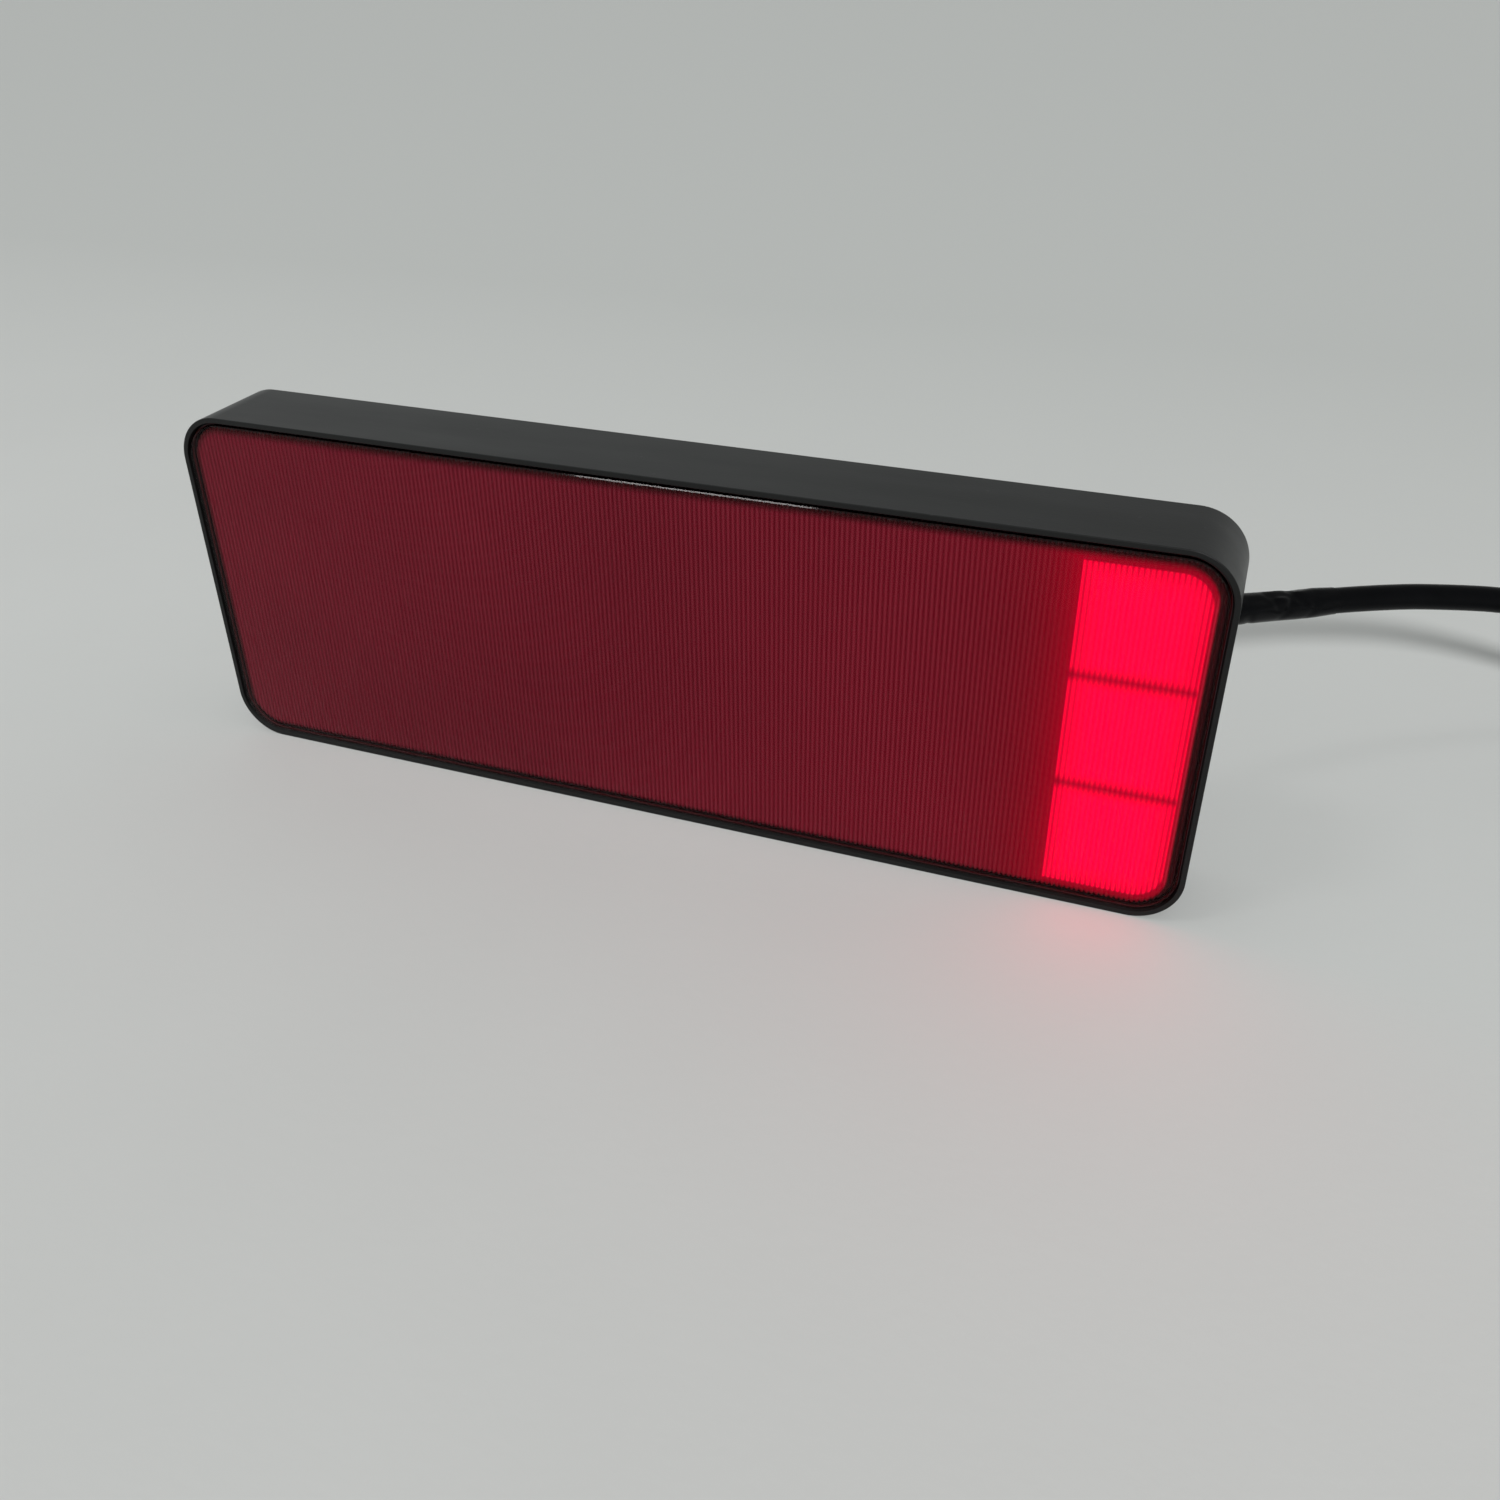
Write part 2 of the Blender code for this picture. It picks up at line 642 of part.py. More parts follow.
core_colours = {
    "white": (0.80, 0.80, 0.78),
    "brown": (0.14, 0.05, 0.02),
    "red": (0.50, 0.02, 0.02),
}
core_materials = {
    name: new_material(f"core_{name}", colour, 0.4) for name, colour in core_colours.items()
}

make_housing(black_plastic)
make_optics(red_plastic, diffuser_plastic, seal_rubber, white_plastic)
make_board(board_laminate, bright_metal)
make_leds(led_package)
make_electronics(component_plastic, component_plastic, bright_metal)
make_inner_leads(core_materials)
make_fixings(bright_metal)
make_grommet(seal_rubber)
make_cable(cable_jacket, sleeve_film, component_plastic)
make_bare_cores(core_materials)
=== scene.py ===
"""Looks for the LED tail light: refined pieces, materials, light and camera around the frame.

Metres, +Z up, in the CAD's frame. X runs along the lamp, the lens faces -Y, and the studs
stand out to +Y. Depths are counted from the front of the rim, towards the back.
"""

import math

import bmesh
import bpy
from mathutils import Matrix, Vector


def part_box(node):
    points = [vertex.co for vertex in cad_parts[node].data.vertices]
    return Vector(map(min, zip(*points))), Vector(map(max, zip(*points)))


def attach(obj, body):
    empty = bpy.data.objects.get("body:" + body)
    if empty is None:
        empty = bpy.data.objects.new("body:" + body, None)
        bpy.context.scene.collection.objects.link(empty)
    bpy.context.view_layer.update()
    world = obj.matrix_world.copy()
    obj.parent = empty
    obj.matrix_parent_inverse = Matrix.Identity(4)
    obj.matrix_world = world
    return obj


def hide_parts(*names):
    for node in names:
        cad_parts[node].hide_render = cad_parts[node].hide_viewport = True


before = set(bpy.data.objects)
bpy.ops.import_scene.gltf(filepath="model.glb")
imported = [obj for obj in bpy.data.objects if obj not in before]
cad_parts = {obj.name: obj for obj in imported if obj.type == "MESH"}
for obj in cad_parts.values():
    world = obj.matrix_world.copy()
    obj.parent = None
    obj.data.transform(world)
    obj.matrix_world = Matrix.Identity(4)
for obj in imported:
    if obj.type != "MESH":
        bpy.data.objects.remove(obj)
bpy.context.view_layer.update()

ROOT = "root"

# Camera and light. A travel is the direction that light goes in; the world's glow at the
# horizon fades with height by a factor e for each reach.
CAMERA_PLACE = (0.13577, -0.31017, 0.22288)
CAMERA_TURN = (57.597, 0.423, 20.539)
CAMERA_LENS = 33.203
CAMERA_SENSOR = 36.0
LIGHT_AIM_X = 0.05
KEY_TRAVEL = (-0.262, 0.807, -0.530)
KEY_SPREAD = 6.5
KEY_STRENGTH = 2.20
SOFTBOX_TRAVEL = (0.370, 0.370, -0.853)
SOFTBOX_DISTANCE = 2.11
SOFTBOX_SIZE = (0.43, 0.26)
SOFTBOX_POWER = 2.1
SKY_COLOUR = (0.965, 0.985, 0.970)
SKY_STRENGTH = 0.29
HORIZON_STRENGTH = 0.42
HORIZON_REACH = 0.22

# Floor: half its width, its colours near the lamp and far behind it, and where they change. The darker
# far colour is painted shade.
FLOOR_HALF = 40.0
FLOOR_NEAR = ((0.726, 0.741, 0.728), (0.742, 0.757, 0.744))
FLOOR_FAR_SHADE = (0.636, 0.655, 0.640)
FLOOR_SHADE_FADE_Y = (0.08, 0.50)

# The frame's own sizes
HOUSING_LOW, HOUSING_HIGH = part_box("housing")
WIDTH = HOUSING_HIGH.x - HOUSING_LOW.x
HEIGHT = HOUSING_HIGH.z - HOUSING_LOW.z
DEPTH = HOUSING_HIGH.y - HOUSING_LOW.y
FRONT_Y = HOUSING_LOW.y
MIDDLE_Z = (HOUSING_LOW.z + HOUSING_HIGH.z) / 2
GAP = 0.0003

# Housing: its edges, the depths of its ledges, the cavity's width, height and corner radius,
# and what stands in or out of its back
CORNER = 0.013
RIM = 0.0014
FRONT_ROUND = 0.00025
BACK_ROUND = 0.0012
SOFT_EDGE = 0.00022
LENS_LEDGE = 0.0023
SHEET_LEDGE = 0.0033
CAVITY = (0.2698, 0.0907, 0.0083)
CAVITY_END = DEPTH - 0.0025
RECESS = (0.1200, 0.0800, 0.0060)
RECESS_X = 0.0680
RECESS_DEPTH = 0.0010
RECESS_FILLET = 0.0004
PAD_RADIUS = 0.0105
STUD_X = 0.0760

# Housing's finish: plain plastic from its darkest to its lightest, a lighter film on its upward faces
# that is partly dust and partly painted sheen, and specks in the dust
HOUSING_CLEAN = ((0.0056, 0.0060, 0.0060), (0.0069, 0.0073, 0.0073))
SHEEN_AND_DUST_COLOUR = (0.036, 0.039, 0.039)
SPECK_COLOUR = (0.075, 0.078, 0.078)

# Lens: its corner, the chamfer on its front, and a little more gap round it than in the frame
LENS_CORNER = 0.0108
LENS_CHAMFER = 0.00038
LENS_SOFT = 0.00006
LENS_TRIM = 0.00015
LENS_TOP_TRIM = 0.00040
SEAL_CORNER = 0.0113

# Lens finishes: the tint that light keeps as it passes, and the IOR that its gloss follows
LENS_FINISHES = {
    "lens_acrylic": ((0.94, 0.64, 0.66), 1.18),
    "lens_edge": ((0.60, 0.20, 0.21), 1.50),
    # lens_side, used on the lens's top edge only, is nearly black: partly absorption along the lens,
    # partly painted shade for the dark gap under the rim.
    "lens_side": ((0.10, 0.012, 0.014), 1.10),
    "lens_back": ((0.94, 0.64, 0.66), None),
}

# Lit cells: the last column of the grid, and the middle of the two walls that cross it
PITCH = 0.02985
LIT_LEFT = 0.1050
LIT_RIGHT = 0.1348
LIT_HEIGHT = 0.0889
LIT_MIDDLE = MIDDLE_Z - 0.0004
LIT_CORNER = 0.0080
LIT_MARGIN = 0.0002
WALLS_MIDDLE = LIT_MIDDLE + 0.0002

# Light from the cells. A tuple gives the value at the edge, the value further in, and how far
# in that is. WALL_RISE is how fast the light comes back beside a wall, per metre.
SHINE = 1.9
SHINE_EDGE = (0.0, 1.0, 0.0006)
SHINE_FADE = (0.62, 1.0, 0.0070)
FLUTE_DIP = (0.58, 0.38, 0.0040)
WALL_LIGHT = (0.02, 0.26, 0.0022)
WALL_RISE = 230.0

# Light that spills past the cells: strength at their edge, and the reach of its fall
SPILL_NEAR = (0.17, 0.005)
SPILL_FAR = (0.065, 0.080)

# The fluted sheet behind the lens: width, height, corner radius. The part that the white baffle
# lights from behind is a bit smaller, and is given the same way with the middle's x and z; round
# it the sheet is painted with shade. That shade's edge is blurred, less so at the right end, where
# a narrow bead shows with a painted highlight. A flute's end rounds off by FLUTE_ENDS: how far in,
# and the share of the drop there. END_STEPS are places across the plain strip at each side.
SHEET = (0.2742, 0.0946, 0.0102)
BACKLIT_PART = (0.2728, 0.0934, 0.0094)
BACKLIT_PART_X = -0.00065
BACKLIT_PART_Z = MIDDLE_Z - 0.0005
EDGE_SHADE_BLUR = (0.0017, 0.0006)
EDGE_SHADE_BLUR_X = (0.128, 0.134)
BEAD_X = 0.1352
BEAD_HALF = (0.0001, 0.0004)
FLUTES = 218
FLUTE_PITCH = 0.00125
FLUTE_HEIGHT = 0.00030
FLUTE_STEPS = 8
FLUTE_TOOTH = 0.0006
FLUTE_END_DROP = 0.0008
FLUTE_ENDS = ((0.0, 1.0), (0.00012, 0.55), (0.0004, 0.18), (0.0011, 0.0))
END_STEPS = (0.15, 0.35, 0.5, 0.65, 0.85, 1.0)

# Sheet's colours: flutes' valleys and crests from darkest to lightest, which paint shade into the
# valleys and a highlight onto the crests; a painted red spill beside the lit cells; a painted
# highlight on the bead at the right end; painted shade outside the part lit from behind; and the
# light itself
VALLEY_PAINTED_SHADE = ((0.096, 0.017, 0.043), (0.108, 0.019, 0.048))
CREST_PAINTED_HIGHLIGHT = ((0.184, 0.072, 0.122), (0.202, 0.079, 0.132))
PAINTED_SPILL_COLOUR = (0.150, 0.0, 0.020)
PAINTED_SPILL_REACH = 0.013
BEAD_PAINTED_HIGHLIGHT = (0.300, 0.060, 0.120)
PAINTED_EDGE_SHADE = (0.028, 0.0160, 0.0185)
GLOW_COLOUR = (1.0, 0.0, 0.074)

# Fixings and grommet
STUD_RADIUS = 0.0030
STUD_HEAD = 0.0025
STUD_HEAD_ROUND = 0.0004
THREAD_PITCH = 0.0010
THREAD_HEIGHT = 0.00055
THREAD_CREST = 1.15
THREAD_TIP = 0.0007
THREAD_STEPS = 48
THREAD_RINGS = 8
WASHER_BORE = 0.00325
WASHER_ROUND = 0.00025
NUT_FLATS = 0.010
NUT_CHAMFER_RADIUS = NUT_FLATS / 2 * 0.985
NUT_CHAMFER_ANGLE = math.radians(28)
NUT_BORE = 0.00328
NUT_SINK_RADIUS = 0.00360
NUT_SINK = 0.0004
NUT_STEPS = 72
GROMMET_BORE = 0.0041
GROMMET_FLANGE = 0.0075
GROMMET_NECK = 0.0052
GROMMET_RIBS = 3

# Cable, its coil, the coil's ties and the bare cores
CABLE_RADIUS = 0.0035
COIL_CENTRE = (0.302, 0.0825)
COIL_INNER = 0.0280
COIL_OUTER = 0.0475
COIL_GROWTH = 0.0071
COIL_TURNS = 3.09
COIL_STEPS = 48
COIL_BASE = 0.0051
COIL_START = 0.0076
COIL_SETTLE_STEPS = 7
TIE_THICKNESS = 0.0010
TIE_WIDTH = 0.0048
TIE_HEAD = (0.0036, 0.0066, 0.0058)
TIE_HEAD_ROUND = 0.0006
TIE_TAIL = (TIE_THICKNESS, TIE_WIDTH * 0.86, 0.0026)
TIE_TAIL_ROUND = 0.0002
TIE_TAIL_LIFT = 0.0007
TIE_ROUND = 0.0003
TIE_ANGLES = (math.radians(190), math.radians(310))
CORE_RADIUS = 0.0011
CORE_LENGTH = 0.028
CORE_INSIDE = 0.002
CORE_BARE_FROM = 0.80
CORE_STEP = 0.0004
STRAND_RADIUS = 0.00072
CORES = ("white", "brown", "red")

# For each core: its place in the jacket, across and up, then how far across its middle and
# its tip fan out
CORE_FAN = (
    (-0.0014, -0.0009, -0.0034, -0.0072),
    (0.0000, 0.0014, 0.0000, 0.0000),
    (0.0014, -0.0009, 0.0034, 0.0072),
)

# The cable's route: inside the grommet and the sleeve, then the free stretch and the tail
EXIT = (0.1240, 0.0145, 0.0590)
SLEEVE_ROUTE = [
    (0.1240, 0.0004, 0.0590),
    (0.1240, 0.0150, 0.0590),
    (0.1246, 0.0215, 0.0590),
    (0.1270, 0.0280, 0.0588),
    (0.1312, 0.0340, 0.0585),
    (0.1363, 0.0385, 0.0580),
    (0.1415, 0.0426, 0.0575),
    (0.1520, 0.0515, 0.0563),
    (0.1636, 0.0600, 0.0556),
]
FREE_ROUTE = [
    (0.1777, 0.0692, 0.0547),
    (0.1897, 0.0760, 0.0537),
    (0.2075, 0.0845, 0.0517),
    (0.2220, 0.0905, 0.0483),
    (0.2360, 0.0958, 0.0428),
    (0.2490, 0.1003, 0.0360),
    (0.2610, 0.1040, 0.0286),
    (0.2720, 0.1069, 0.0214),
    (0.2820, 0.1089, 0.0154),
    (0.2920, 0.1101, 0.0107),
]
TAIL_ROUTE = [
    (0.3287, 0.1248, 0.0051),
    (0.3380, 0.1185, 0.0048),
    (0.3460, 0.1100, 0.0042),
    (0.3515, 0.1000, 0.0037),
]
PATH_STEP = 0.0022

# Sleeve: its radii, and where it tapers onto the cable, as fractions of its length
SLEEVE_RADIUS = 0.00396
SLEEVE_WAVE = 0.00006
SLEEVE_BORE = 0.00355
SLEEVE_LEAST = 0.0036
SLEEVE_TAPER = 0.00024
SLEEVE_TAPER_FROM = (0.90, 0.09)
SLEEVE_STEP = 0.0006

# Creases along the sleeve: start and end as fractions of its length, the angle round it, how
# far the angle drifts, and the depth
CREASE_WIDTH = 0.22
CREASES = (
    (0.20, 0.75, 0.6, 2.2, 0.00042),
    (0.45, 0.90, 2.7, -1.6, 0.00056),
    (0.62, 0.97, 1.5, 1.5, 0.00052),
    (0.70, 1.05, 2.5, -0.6, 0.00040),
    (0.30, 0.95, 4.4, 1.2, 0.00046),
    (0.10, 0.60, 3.6, -1.4, 0.00036),
    (0.36, 0.70, 1.1, -1.2, 0.00050),
    (0.50, 0.85, 0.2, 1.0, 0.00050),
    (0.40, 0.78, 5.3, -0.8, 0.00045),
)

# Kinks across the sleeve: fraction of its length, angle round it, skew and depth
KINK_LENGTH = 0.017
KINK_WIDTH = 0.8
KINKS = (
    (0.30, 4.5, 0.03, 0.00040),
    (0.45, 1.0, -0.04, 0.00040),
    (0.55, 3.6, 0.03, 0.00040),
    (0.68, 2.5, 0.03, 0.00042),
    (0.745, 2.7, -0.03, 0.00048),
    (0.80, 2.3, 0.04, 0.00046),
    (0.87, 2.9, -0.02, 0.00030),
)

# Finishes that moulded() makes
PLAIN_FINISHES = {
    "seal_rubber": dict(colour=(0.012, 0.012, 0.012), rough=0.72, grain=1800.0),
    # seal_gasket is black rubber made lighter and redder: painted red light carried through the lens
    # from the lit cells.
    "seal_gasket": dict(colour=(0.030, 0.0170, 0.0195), rough=0.72, grain=1800.0),
    "white_plastic": dict(colour=(0.78, 0.78, 0.75), rough=0.50, vary=0.03),
    "board_laminate": dict(colour=(0.70, 0.73, 0.69), rough=0.38, vary=0.04, patch=60.0),
    "led_package": dict(colour=(0.82, 0.70, 0.28), rough=0.25, vary=0.08, patch=300.0),
    "component_plastic": dict(colour=(0.022, 0.022, 0.023), rough=0.45, grain=2500.0),
    "capacitor_can": dict(colour=(0.66, 0.67, 0.68), rough=0.28, metallic=1.0, patch=200.0),
    "zinc_steel": dict(
        colour=(0.62, 0.63, 0.63), rough=0.30, metallic=1.0, vary=0.10, patch=260.0, grain=3000.0,
        grain_height=0.00001,
    ),
    "cable_jacket": dict(
        colour=(0.0024, 0.0026, 0.0031), rough=0.34, vary=0.15, patch=90.0, grain=2200.0,
        specular=0.05,
    ),
    "sleeve_film": dict(
        colour=(0.0024, 0.0026, 0.0031), rough=0.24, vary=0.12, patch=120.0, grain=1500.0,
        specular=0.065,
    ),
    "tie_nylon": dict(colour=(0.018, 0.018, 0.019), rough=0.36, patch=150.0, grain=2000.0),
    "core_white": dict(colour=(0.78, 0.77, 0.73), rough=0.38, vary=0.04, patch=300.0),
    "core_brown": dict(colour=(0.120, 0.043, 0.018), rough=0.38, patch=300.0),
    "core_red": dict(colour=(0.46, 0.016, 0.014), rough=0.38, vary=0.08, patch=300.0),
    "copper": dict(colour=(0.80, 0.36, 0.20), rough=0.26, metallic=1.0, vary=0.15, patch=900.0),
}

# The finish of each CAD node that still shows
NODE_FINISHES = {
    "cell_baffle": "white_plastic",
    "led_board": "board_laminate",
    "cable_terminal": "component_plastic",
    "driver_chip": "component_plastic",
    "input_capacitor": "capacitor_can",
    "lead_white": "core_white",
    "lead_brown": "core_brown",
    "lead_red": "core_red",
}


def depth_y(depth):
    """The y of a depth behind the front of the rim."""
    return FRONT_Y + depth


def extent(node):
    """A CAD node's width, height and middle (x, z), and the depths of its front and its back."""
    low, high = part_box(node)
    middle = ((low.x + high.x) / 2, (low.z + high.z) / 2)
    return high.x - low.x, high.z - low.z, middle, low.y - FRONT_Y, high.y - FRONT_Y


# ---------------------------------------------------------------- materials


class Nodes:
    """The nodes of a material or a world, with short calls to add and link them."""

    def __init__(self, owner):
        owner.use_nodes = True
        self.tree = owner.node_tree

    def add(self, kind, **settings):
        """A new node of a kind, with its settings."""
        node = self.tree.nodes.new("ShaderNode" + kind)
        for key, value in settings.items():
            setattr(node, key, value)
        return node

    def link(self, source, target):
        """Links a node's output to an input."""
        self.tree.links.new(source, target)

    def feed(self, value, socket):
        """Sets a socket to a number, or links it where the value is another node's output."""
        if isinstance(value, (int, float, tuple)):
            socket.default_value = value
        else:
            self.link(value, socket)

    def math(self, operation, *values, clamp=False):
        """The result of a sum on numbers or outputs."""
        node = self.add("Math", operation=operation, use_clamp=clamp)
        for value, socket in zip(values, node.inputs):
            self.feed(value, socket)
        return node.outputs[0]

    def gap(self, value, place):
        """How far a value is from a number, either way."""
        return self.math("ABSOLUTE", self.math("SUBTRACT", value, place))

    def split(self, vector):
        """A vector's x, y and z."""
        node = self.add("SeparateXYZ")
        self.link(vector, node.inputs[0])
        return node.outputs

    def place(self):
        """Where a point is, in metres, in the frame."""
        return self.add("TexCoord").outputs["Object"]

    def noise(self, scale, detail=3.0, stretch=(1.0, 1.0, 1.0)):
        """Cloudy noise at a scale per metre, drawn out along an axis whose stretch is less."""
        mapping = self.add("Mapping")
        mapping.inputs["Scale"].default_value = stretch
        self.link(self.place(), mapping.inputs["Vector"])
        noise = self.add("TexNoise")
        noise.inputs["Scale"].default_value = scale
        noise.inputs["Detail"].default_value = detail
        noise.inputs["Roughness"].default_value = 0.55
        self.link(mapping.outputs[0], noise.inputs["Vector"])
        return noise.outputs["Fac"]

    def span(self, value, low, high, start=0.3, end=0.7):
        """Goes from low to high as the value goes from start to end."""
        node = self.add("MapRange")
        self.link(value, node.inputs["Value"])
        for key, number in (("From Min", start), ("From Max", end), ("To Min", low), ("To Max", high)):
            node.inputs[key].default_value = number
        return node.outputs[0]

    def blend(self, factor, first, second):
        """A mix of two colours, each an output or a colour with its alpha."""
        node = self.add("Mix", data_type="RGBA")
        self.feed(factor, node.inputs["Factor"])
        self.feed(first, node.inputs[6])
        self.feed(second, node.inputs[7])
        return node.outputs[2]

    def cloud(self, noise, pair):
        """A colour that wanders between two with a noise."""
        return self.blend(self.span(noise, 0, 1), rgba(pair[0]), rgba(pair[1]))

    def bump(self, height, strength, distance):
        """A normal that follows a height."""
        node = self.add("Bump")
        node.inputs["Strength"].default_value = strength
        node.inputs["Distance"].default_value = distance
        self.link(height, node.inputs["Height"])
        return node.outputs[0]


class Finish(Nodes):
    """A new material for a slot, with its shader and its output."""

    def __init__(self, name):
        self.material = bpy.data.materials.new(f"{name}_finish")
        self.material["slot"] = name
        super().__init__(self.material)
        self.shader = self.tree.nodes["Principled BSDF"]
        self.output = self.tree.nodes["Material Output"]


def rgba(colour, factor=1.0):
    """A colour with an alpha of 1, made lighter or darker by a factor."""
    return tuple(channel * factor for channel in colour) + (1.0,)


def moulded(
    name, colour, rough, metallic=0.0, vary=0.12, patch=25.0, grain=900.0, grain_height=0.00004,
    specular=0.5,
):
    """A material whose colour, gloss and fine grain vary a little over the surface."""
    nodes = Finish(name)
    shader = nodes.shader
    patches = nodes.noise(patch, detail=4.0)
    base = nodes.blend(nodes.span(patches, 0, 1), rgba(colour, 1 - vary), rgba(colour, 1 + vary))
    nodes.link(base, shader.inputs["Base Color"])
    streaks = nodes.noise(patch * 3.7, detail=5.0)
    nodes.link(nodes.span(streaks, rough * 0.86, rough * 1.14), shader.inputs["Roughness"])
    fine = nodes.noise(grain, detail=2.0)
    nodes.link(nodes.bump(fine, 0.5, grain_height), shader.inputs["Normal"])
    shader.inputs["Metallic"].default_value = metallic
    shader.inputs["Specular IOR Level"].default_value = specular
    return nodes.material


def make_housing_material(name):
    """Black moulded plastic, with a lighter layer on the faces that look up, fading towards the right:
    partly dusty, partly painted sheen where the top catches the light.
    """
    nodes = Finish(name)
    shader = nodes.shader
    patches = nodes.noise(16.0, detail=4.0, stretch=(0.35, 1, 1))
    clean = nodes.cloud(patches, HOUSING_CLEAN)
    _, _, facing_up = nodes.split(nodes.add("NewGeometry").outputs["Normal"])
    x, _, _ = nodes.split(nodes.place())
    # The film on upward faces, fading towards the right, is partly dust and partly painted sheen where
    # the top catches the light.
    upward = nodes.span(facing_up, 0, 1, 0.2, 1.0)
    sheen_and_dust_fade = nodes.span(x, 1.0, 0.30, -WIDTH / 2, WIDTH / 2)
    sheen_and_dust_film = nodes.math("MULTIPLY", upward, sheen_and_dust_fade)
    patchy = nodes.noise(45.0, detail=6.0, stretch=(0.25, 1, 1))
    sheen_and_dust_film = nodes.math("MULTIPLY", sheen_and_dust_film, nodes.span(patchy, 0.65, 1.0))
    specks = nodes.span(nodes.noise(420.0, detail=1.0), 0, 1, 0.74, 0.80)
    sheen_and_dust = nodes.blend(specks, rgba(SHEEN_AND_DUST_COLOUR), rgba(SPECK_COLOUR))
    nodes.link(nodes.blend(sheen_and_dust_film, clean, sheen_and_dust), shader.inputs["Base Color"])
    smear = nodes.noise(60.0, detail=5.0, stretch=(0.2, 1, 1))
    nodes.link(nodes.span(smear, 0.31, 0.41), shader.inputs["Roughness"])
    shader.inputs["Specular IOR Level"].default_value = 0.20
    nodes.link(nodes.bump(nodes.noise(1400.0, detail=2.0), 0.5, 0.00003), shader.inputs["Normal"])
    return nodes.material


def make_lens_material(name, tint, ior):
    """Clear red acrylic: a tinted see-through shader, with reflections where an IOR is given."""
    nodes = Finish(name)
    nodes.tree.nodes.remove(nodes.shader)
    clear = nodes.add("BsdfTransparent")
    cloud = nodes.noise(18.0, detail=2.0)
    blend = nodes.blend(nodes.span(cloud, 0, 1), rgba(tint, 0.985), rgba(tint, 1.015))
    nodes.link(blend, clear.inputs["Color"])
    if ior is None:
        nodes.link(clear.outputs[0], nodes.output.inputs["Surface"])
        return nodes.material
    shine = nodes.add("BsdfGlossy")
    smear = nodes.noise(30.0, detail=5.0, stretch=(1, 1, 2.5))
    nodes.link(nodes.span(smear, 0.035, 0.075), shine.inputs["Roughness"])
    fresnel = nodes.add("Fresnel")
    fresnel.inputs["IOR"].default_value = ior
    mix = nodes.add("MixShader")
    for source, socket in zip((fresnel, clear, shine), mix.inputs):
        nodes.link(source.outputs[0], socket)
    nodes.link(mix.outputs[0], nodes.output.inputs["Surface"])
    return nodes.material


def rounded_distance(nodes, x, z, right, half_height, middle, corner):
    """How far a place is inside a rectangle's right, top and bottom edges, its corners rounded."""
    past_x = nodes.math("SUBTRACT", x, right - corner)
    past_z = nodes.math("SUBTRACT", nodes.gap(z, middle), half_height - corner)
    across = nodes.math("POWER", nodes.math("MAXIMUM", past_x, 0.0), 2.0)
    up = nodes.math("POWER", nodes.math("MAXIMUM", past_z, 0.0), 2.0)
    out = nodes.math("SQRT", nodes.math("ADD", across, up))
    inner = nodes.math("MINIMUM", nodes.math("MAXIMUM", past_x, past_z), 0.0)
    return nodes.math("SUBTRACT", corner, nodes.math("ADD", out, inner))


def flute_wave(nodes, x):
    """0 in the valleys between the flutes and 1 on their crests."""
    turn = nodes.math("MULTIPLY", x, 2 * math.pi / FLUTE_PITCH)
    return nodes.math("MULTIPLY_ADD", nodes.math("COSINE", turn), -0.5, 0.5)


def past_lit(nodes, x, z):
    """How far a place is inside the edge of the lit cells. It is below zero outside them."""
    from_rim = rounded_distance(nodes, x, z, LIT_RIGHT, LIT_HEIGHT / 2, LIT_MIDDLE, LIT_CORNER)
    from_left = nodes.math("SUBTRACT", x, LIT_LEFT)
    return nodes.math("MINIMUM", from_rim, from_left)


def inwards(nodes, distance, change):
    """Goes from the first number of a change to its second over the distance that is its third."""
    first, second, reach = change
    return nodes.span(distance, first, second, 0.0, reach)


def lit_level(nodes, x, z, wave, from_edge):
    """How strongly each place on the sheet shines: three cells with dark walls between them."""
    inside = inwards(nodes, from_edge, SHINE_EDGE)
    fade = inwards(nodes, from_edge, SHINE_FADE)
    from_wall = nodes.gap(nodes.gap(z, WALLS_MIDDLE), PITCH / 2)
    on_wall = inwards(nodes, nodes.math("SUBTRACT", x, LIT_LEFT), WALL_LIGHT)
    walls = nodes.math("MULTIPLY_ADD", from_wall, WALL_RISE, on_wall)
    level = nodes.math("MINIMUM", nodes.math("MULTIPLY", inside, fade), walls)
    valley = nodes.math("SUBTRACT", 1.0, wave)
    dip = nodes.math("MULTIPLY", valley, inwards(nodes, from_edge, FLUTE_DIP))
    return nodes.math("MULTIPLY", level, nodes.math("SUBTRACT", 1.0, dip))


def fall(nodes, away, reach):
    """1 at no distance, and less by a factor e with each reach."""
    return nodes.math("EXPONENT", nodes.math("MULTIPLY", away, -1 / reach))


